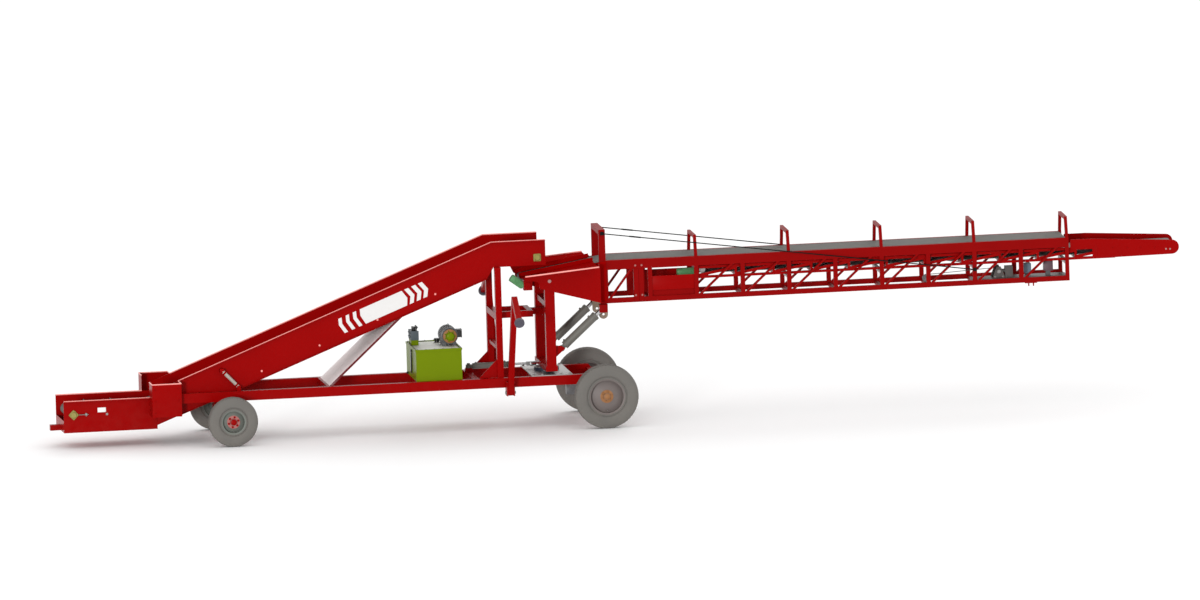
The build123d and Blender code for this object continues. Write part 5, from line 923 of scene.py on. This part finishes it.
rope_turn = np.linspace(0.0, ROPE_TURNS * 2.0 * np.pi, ROPE_TURNS * 32)
lay_r = DRUM_R + ROPE_R
winding = np.stack([WINCH_X + lay_r * np.sin(rope_turn),
                    ROPE_END_Y - 2.0 * ROPE_END_Y * rope_turn / rope_turn[-1],
                    WINCH_Z + lay_r * np.cos(rope_turn)], -1)
over = np.linspace(0.0, 0.5 * np.pi, 9)
sheave_wrap = np.stack([SHEAVE[0] - WRAP_R * np.sin(over), np.full(len(over), -ROPE_END_Y),
                        SHEAVE[2] + WRAP_R * np.cos(over)], -1)
run_out = [(WINCH_X, -ROPE_END_Y, WINCH_Z + lay_r), *sheave_wrap,
           (SHEAVE[0] - WRAP_R, -ROPE_END_Y, ROPE_FOOT_Z)]
straps = [block((SHEAVE[0] - STRAP_HALF, y, STRAP_FOOT_Z),
                (SHEAVE[0] + STRAP_HALF, y + STRAP_T, SHEAVE[2] + STRAP_LIFT), 0.0025, along=1)
          for y in STRAPS_Y]
cheek_bolts = [(WINCH_X + a, CHEEK_Y, CHEEK_BOLT_Z) for a in CHEEK_BOLT_X]
piece("winch_rope", [rod(winding, ROPE_R), rod(run_out, ROPE_R)], rope_grey, "bare_steel", "boom")
piece("rope_sheave", [turned(GROOVE, SHEAVE + (0, -ROPE_END_Y, 0), (0, 1, 0), 32), *straps,
                      *hex_heads([SHEAVE + (0, STRAPS_Y[0], 0)], (0, -1, 0), SHEAVE_HEAD)],
      motor_grey, "motor_grey", "boom")
piece("winch_bolts", [*hex_heads(cheek_bolts, (0, -1, 0), CHEEK_HEAD),
                      turned(SHAFT_CAP, (WINCH_X, CHEEK_Y, WINCH_Z), (0, -1, 0), 28)],
      bare_steel, "bare_steel", "boom")

# Control boxes: two folded boxes on feet beside the winch, a blue-grey valve box and a dark switch box,
# with lipped covers held by four screws
box_dark = finish("box_dark", (0.10, 0.058, 0.072), 0.4, ior=1.35, dust_and_sheen=0.12)
box_blue = finish("box_blue", (0.11, 0.155, 0.20), 0.4, ior=1.35, dust_and_sheen=0.1)
CONTROL_BOXES = [("valve_box_cover", box_blue, 6.290, 0.0525, -0.1575, (1.915, 2.055)),
                 ("switch_box_cover", box_dark, 6.607, 0.0665, -0.150, (1.935, 2.075))]
LID_LAP, LID_OUT, BOX_SCREW_INSET, BOX_SCREW = 0.003, 0.009, 0.012, (0.010, 0.005)
dress(pump_grey, "boom_boxes")
for cover_name, cover_finish, x, half_x, face_y, (low_z, high_z) in CONTROL_BOXES:
    cover = block((x - half_x - LID_LAP, face_y - LID_OUT, low_z - LID_LAP),
                  (x + half_x + LID_LAP, face_y + 0.001, high_z + LID_LAP), 0.003, along=1)
    corners = [(x + a * (half_x - BOX_SCREW_INSET), face_y - 0.008, z) for a in (-1, 1)
               for z in (low_z + BOX_SCREW_INSET, high_z - BOX_SCREW_INSET)]
    piece(cover_name, [cover, *hex_heads(corners, (0, -1, 0), BOX_SCREW)], cover_finish, "pump_grey", "boom")

# Inner boom: a slimmer welded red lattice with its own belt and plain pulleys, and a green finned motor on
# its end plate that drives the belt from the tail; its belt is a lighter grey than the others, painted light
# against the shade it lies in
END_PLATE_X, END_PLATE_Y, END_PLATE_Z, END_HEAD = (1.250, 1.270), 0.325, (2.103, 2.290), (0.018, 0.010)
INNER_MOTOR_AT, INNER_MOTOR_LENGTH, INNER_MOTOR_R = (END_PLATE_X[0], -0.200, 2.195), 0.280, 0.060
inner_rubber_painted_light = finish("inner_rubber_painted_light", (0.165, 0.160, 0.150), 0.72, ior=1.3, dust_and_sheen=0.1, mottle=0.12,
                      mottle_scale=1.2, grain_scale=420.0, grain_depth=0.0012)
dress(red_paint, "inner_truss", "inner_head")
dress(bare_steel, "inner_pulleys")
dress(inner_rubber_painted_light, "inner_belt")
end_places = [(END_PLATE_X[0], y, z) for y in (-0.30, -0.1, 0.1, 0.30) for z in (2.125, 2.268)]
piece("inner_motor", motor(INNER_MOTOR_AT, (-1, 0, 0), INNER_MOTOR_LENGTH, INNER_MOTOR_R, *SMALL_FINS),
      motor_green, "motor_green", "inner_boom", "inner_drive")
piece("inner_end_plate", [block((END_PLATE_X[0], -END_PLATE_Y, END_PLATE_Z[0]),
                                (END_PLATE_X[1], END_PLATE_Y, END_PLATE_Z[1]), 0.003),
                          *hex_heads(end_places, (-1, 0, 0), END_HEAD)], red_paint, "red_paint", "inner_boom")

# Discharge head: smooth red side plates lapped over the lattice at a seam and bolted along their length,
# with two bolts in the nose whose pale pink is a painted highlight
HEAD_FACE_Y, SEAM_X, SEAM_HALF, SEAM_T, SEAM_Z = 0.331, 7.318, 0.012, 0.004, (2.130, 2.320)
HEAD_BOLTS = [(7.57, 2.257), (7.782, 2.247), (7.986, 2.237), (8.198, 2.226)]
NOSE_BOLTS = [(8.372, 2.198), (8.433, 2.195)]
HEAD_BOLT_HEAD, NOSE_BOLT_HEAD = (0.016, 0.007), (0.017, 0.008)
seams = [block((SEAM_X - SEAM_HALF, side * HEAD_FACE_Y, SEAM_Z[0]),
               (SEAM_X + SEAM_HALF, side * (HEAD_FACE_Y + SEAM_T), SEAM_Z[1]), 0.0015, along=1)
         for side in (-1, 1)]
piece("head_bolts", seams + heads_both_sides(HEAD_BOLTS, HEAD_FACE_Y, HEAD_BOLT_HEAD), red_paint, "red_paint",
      "inner_boom")
piece("nose_bolts", heads_both_sides(NOSE_BOLTS, HEAD_FACE_Y, NOSE_BOLT_HEAD), cap_painted_highlight, "bare_steel",
      "inner_boom")

# Outriggers: red legs folded up beside the portal with dark round feet; each turns on a pin between two
# ears of the chassis, held by washers and caps, and each foot has a raised rim and a hub on its sole
PIN_X, PIN_Y, PIN_Z, EAR_FACE = -1.674, 0.680, 0.566, 0.061
FOOT_Y, FOOT_Z, FOOT_DIP, FOOT_R, FOOT_T = 1.8345, 1.7764, math.radians(25.0), 0.075, 0.040
PIN_CAP = [(0.0, 0.032), (0.004, 0.032), (0.005, 0.022), (0.016, 0.022), (0.020, 0.017), (0.020, 0.004)]
SOLE = [(-0.006, FOOT_R - 0.004), (-0.002, FOOT_R), (0.004, FOOT_R), (0.005, FOOT_R - 0.012),
        (0.001, FOOT_R - 0.016), (0.001, 0.030), (0.005, 0.026), (0.005, 0.004)]
pad_dark = finish("pad_dark", (0.066, 0.061, 0.080), 0.5, ior=1.35, dust_and_sheen=0.1, mottle=0.25, mottle_scale=10.0)
for side, hand in ((-1, "right"), (1, "left")):
    dress(red_paint, f"outrigger_{hand}")
    dress(pad_dark, f"outrigger_pad_{hand}")
    pins = [turned(PIN_CAP, (PIN_X + end * EAR_FACE, side * PIN_Y, PIN_Z), (end, 0, 0), 28)
            for end in (-1, 1)]
    piece(f"outrigger_pins_{hand}", pins, bare_steel, "bare_steel", "chassis")
    down = np.array((0.0, side * math.cos(FOOT_DIP), -math.sin(FOOT_DIP)))
    sole_at = np.array((PIN_X, side * FOOT_Y, FOOT_Z)) + 0.5 * FOOT_T * down
    piece(f"outrigger_sole_{hand}", [turned(SOLE, sole_at, down)], pad_dark, "motor_grey",
          f"{hand}_outrigger")
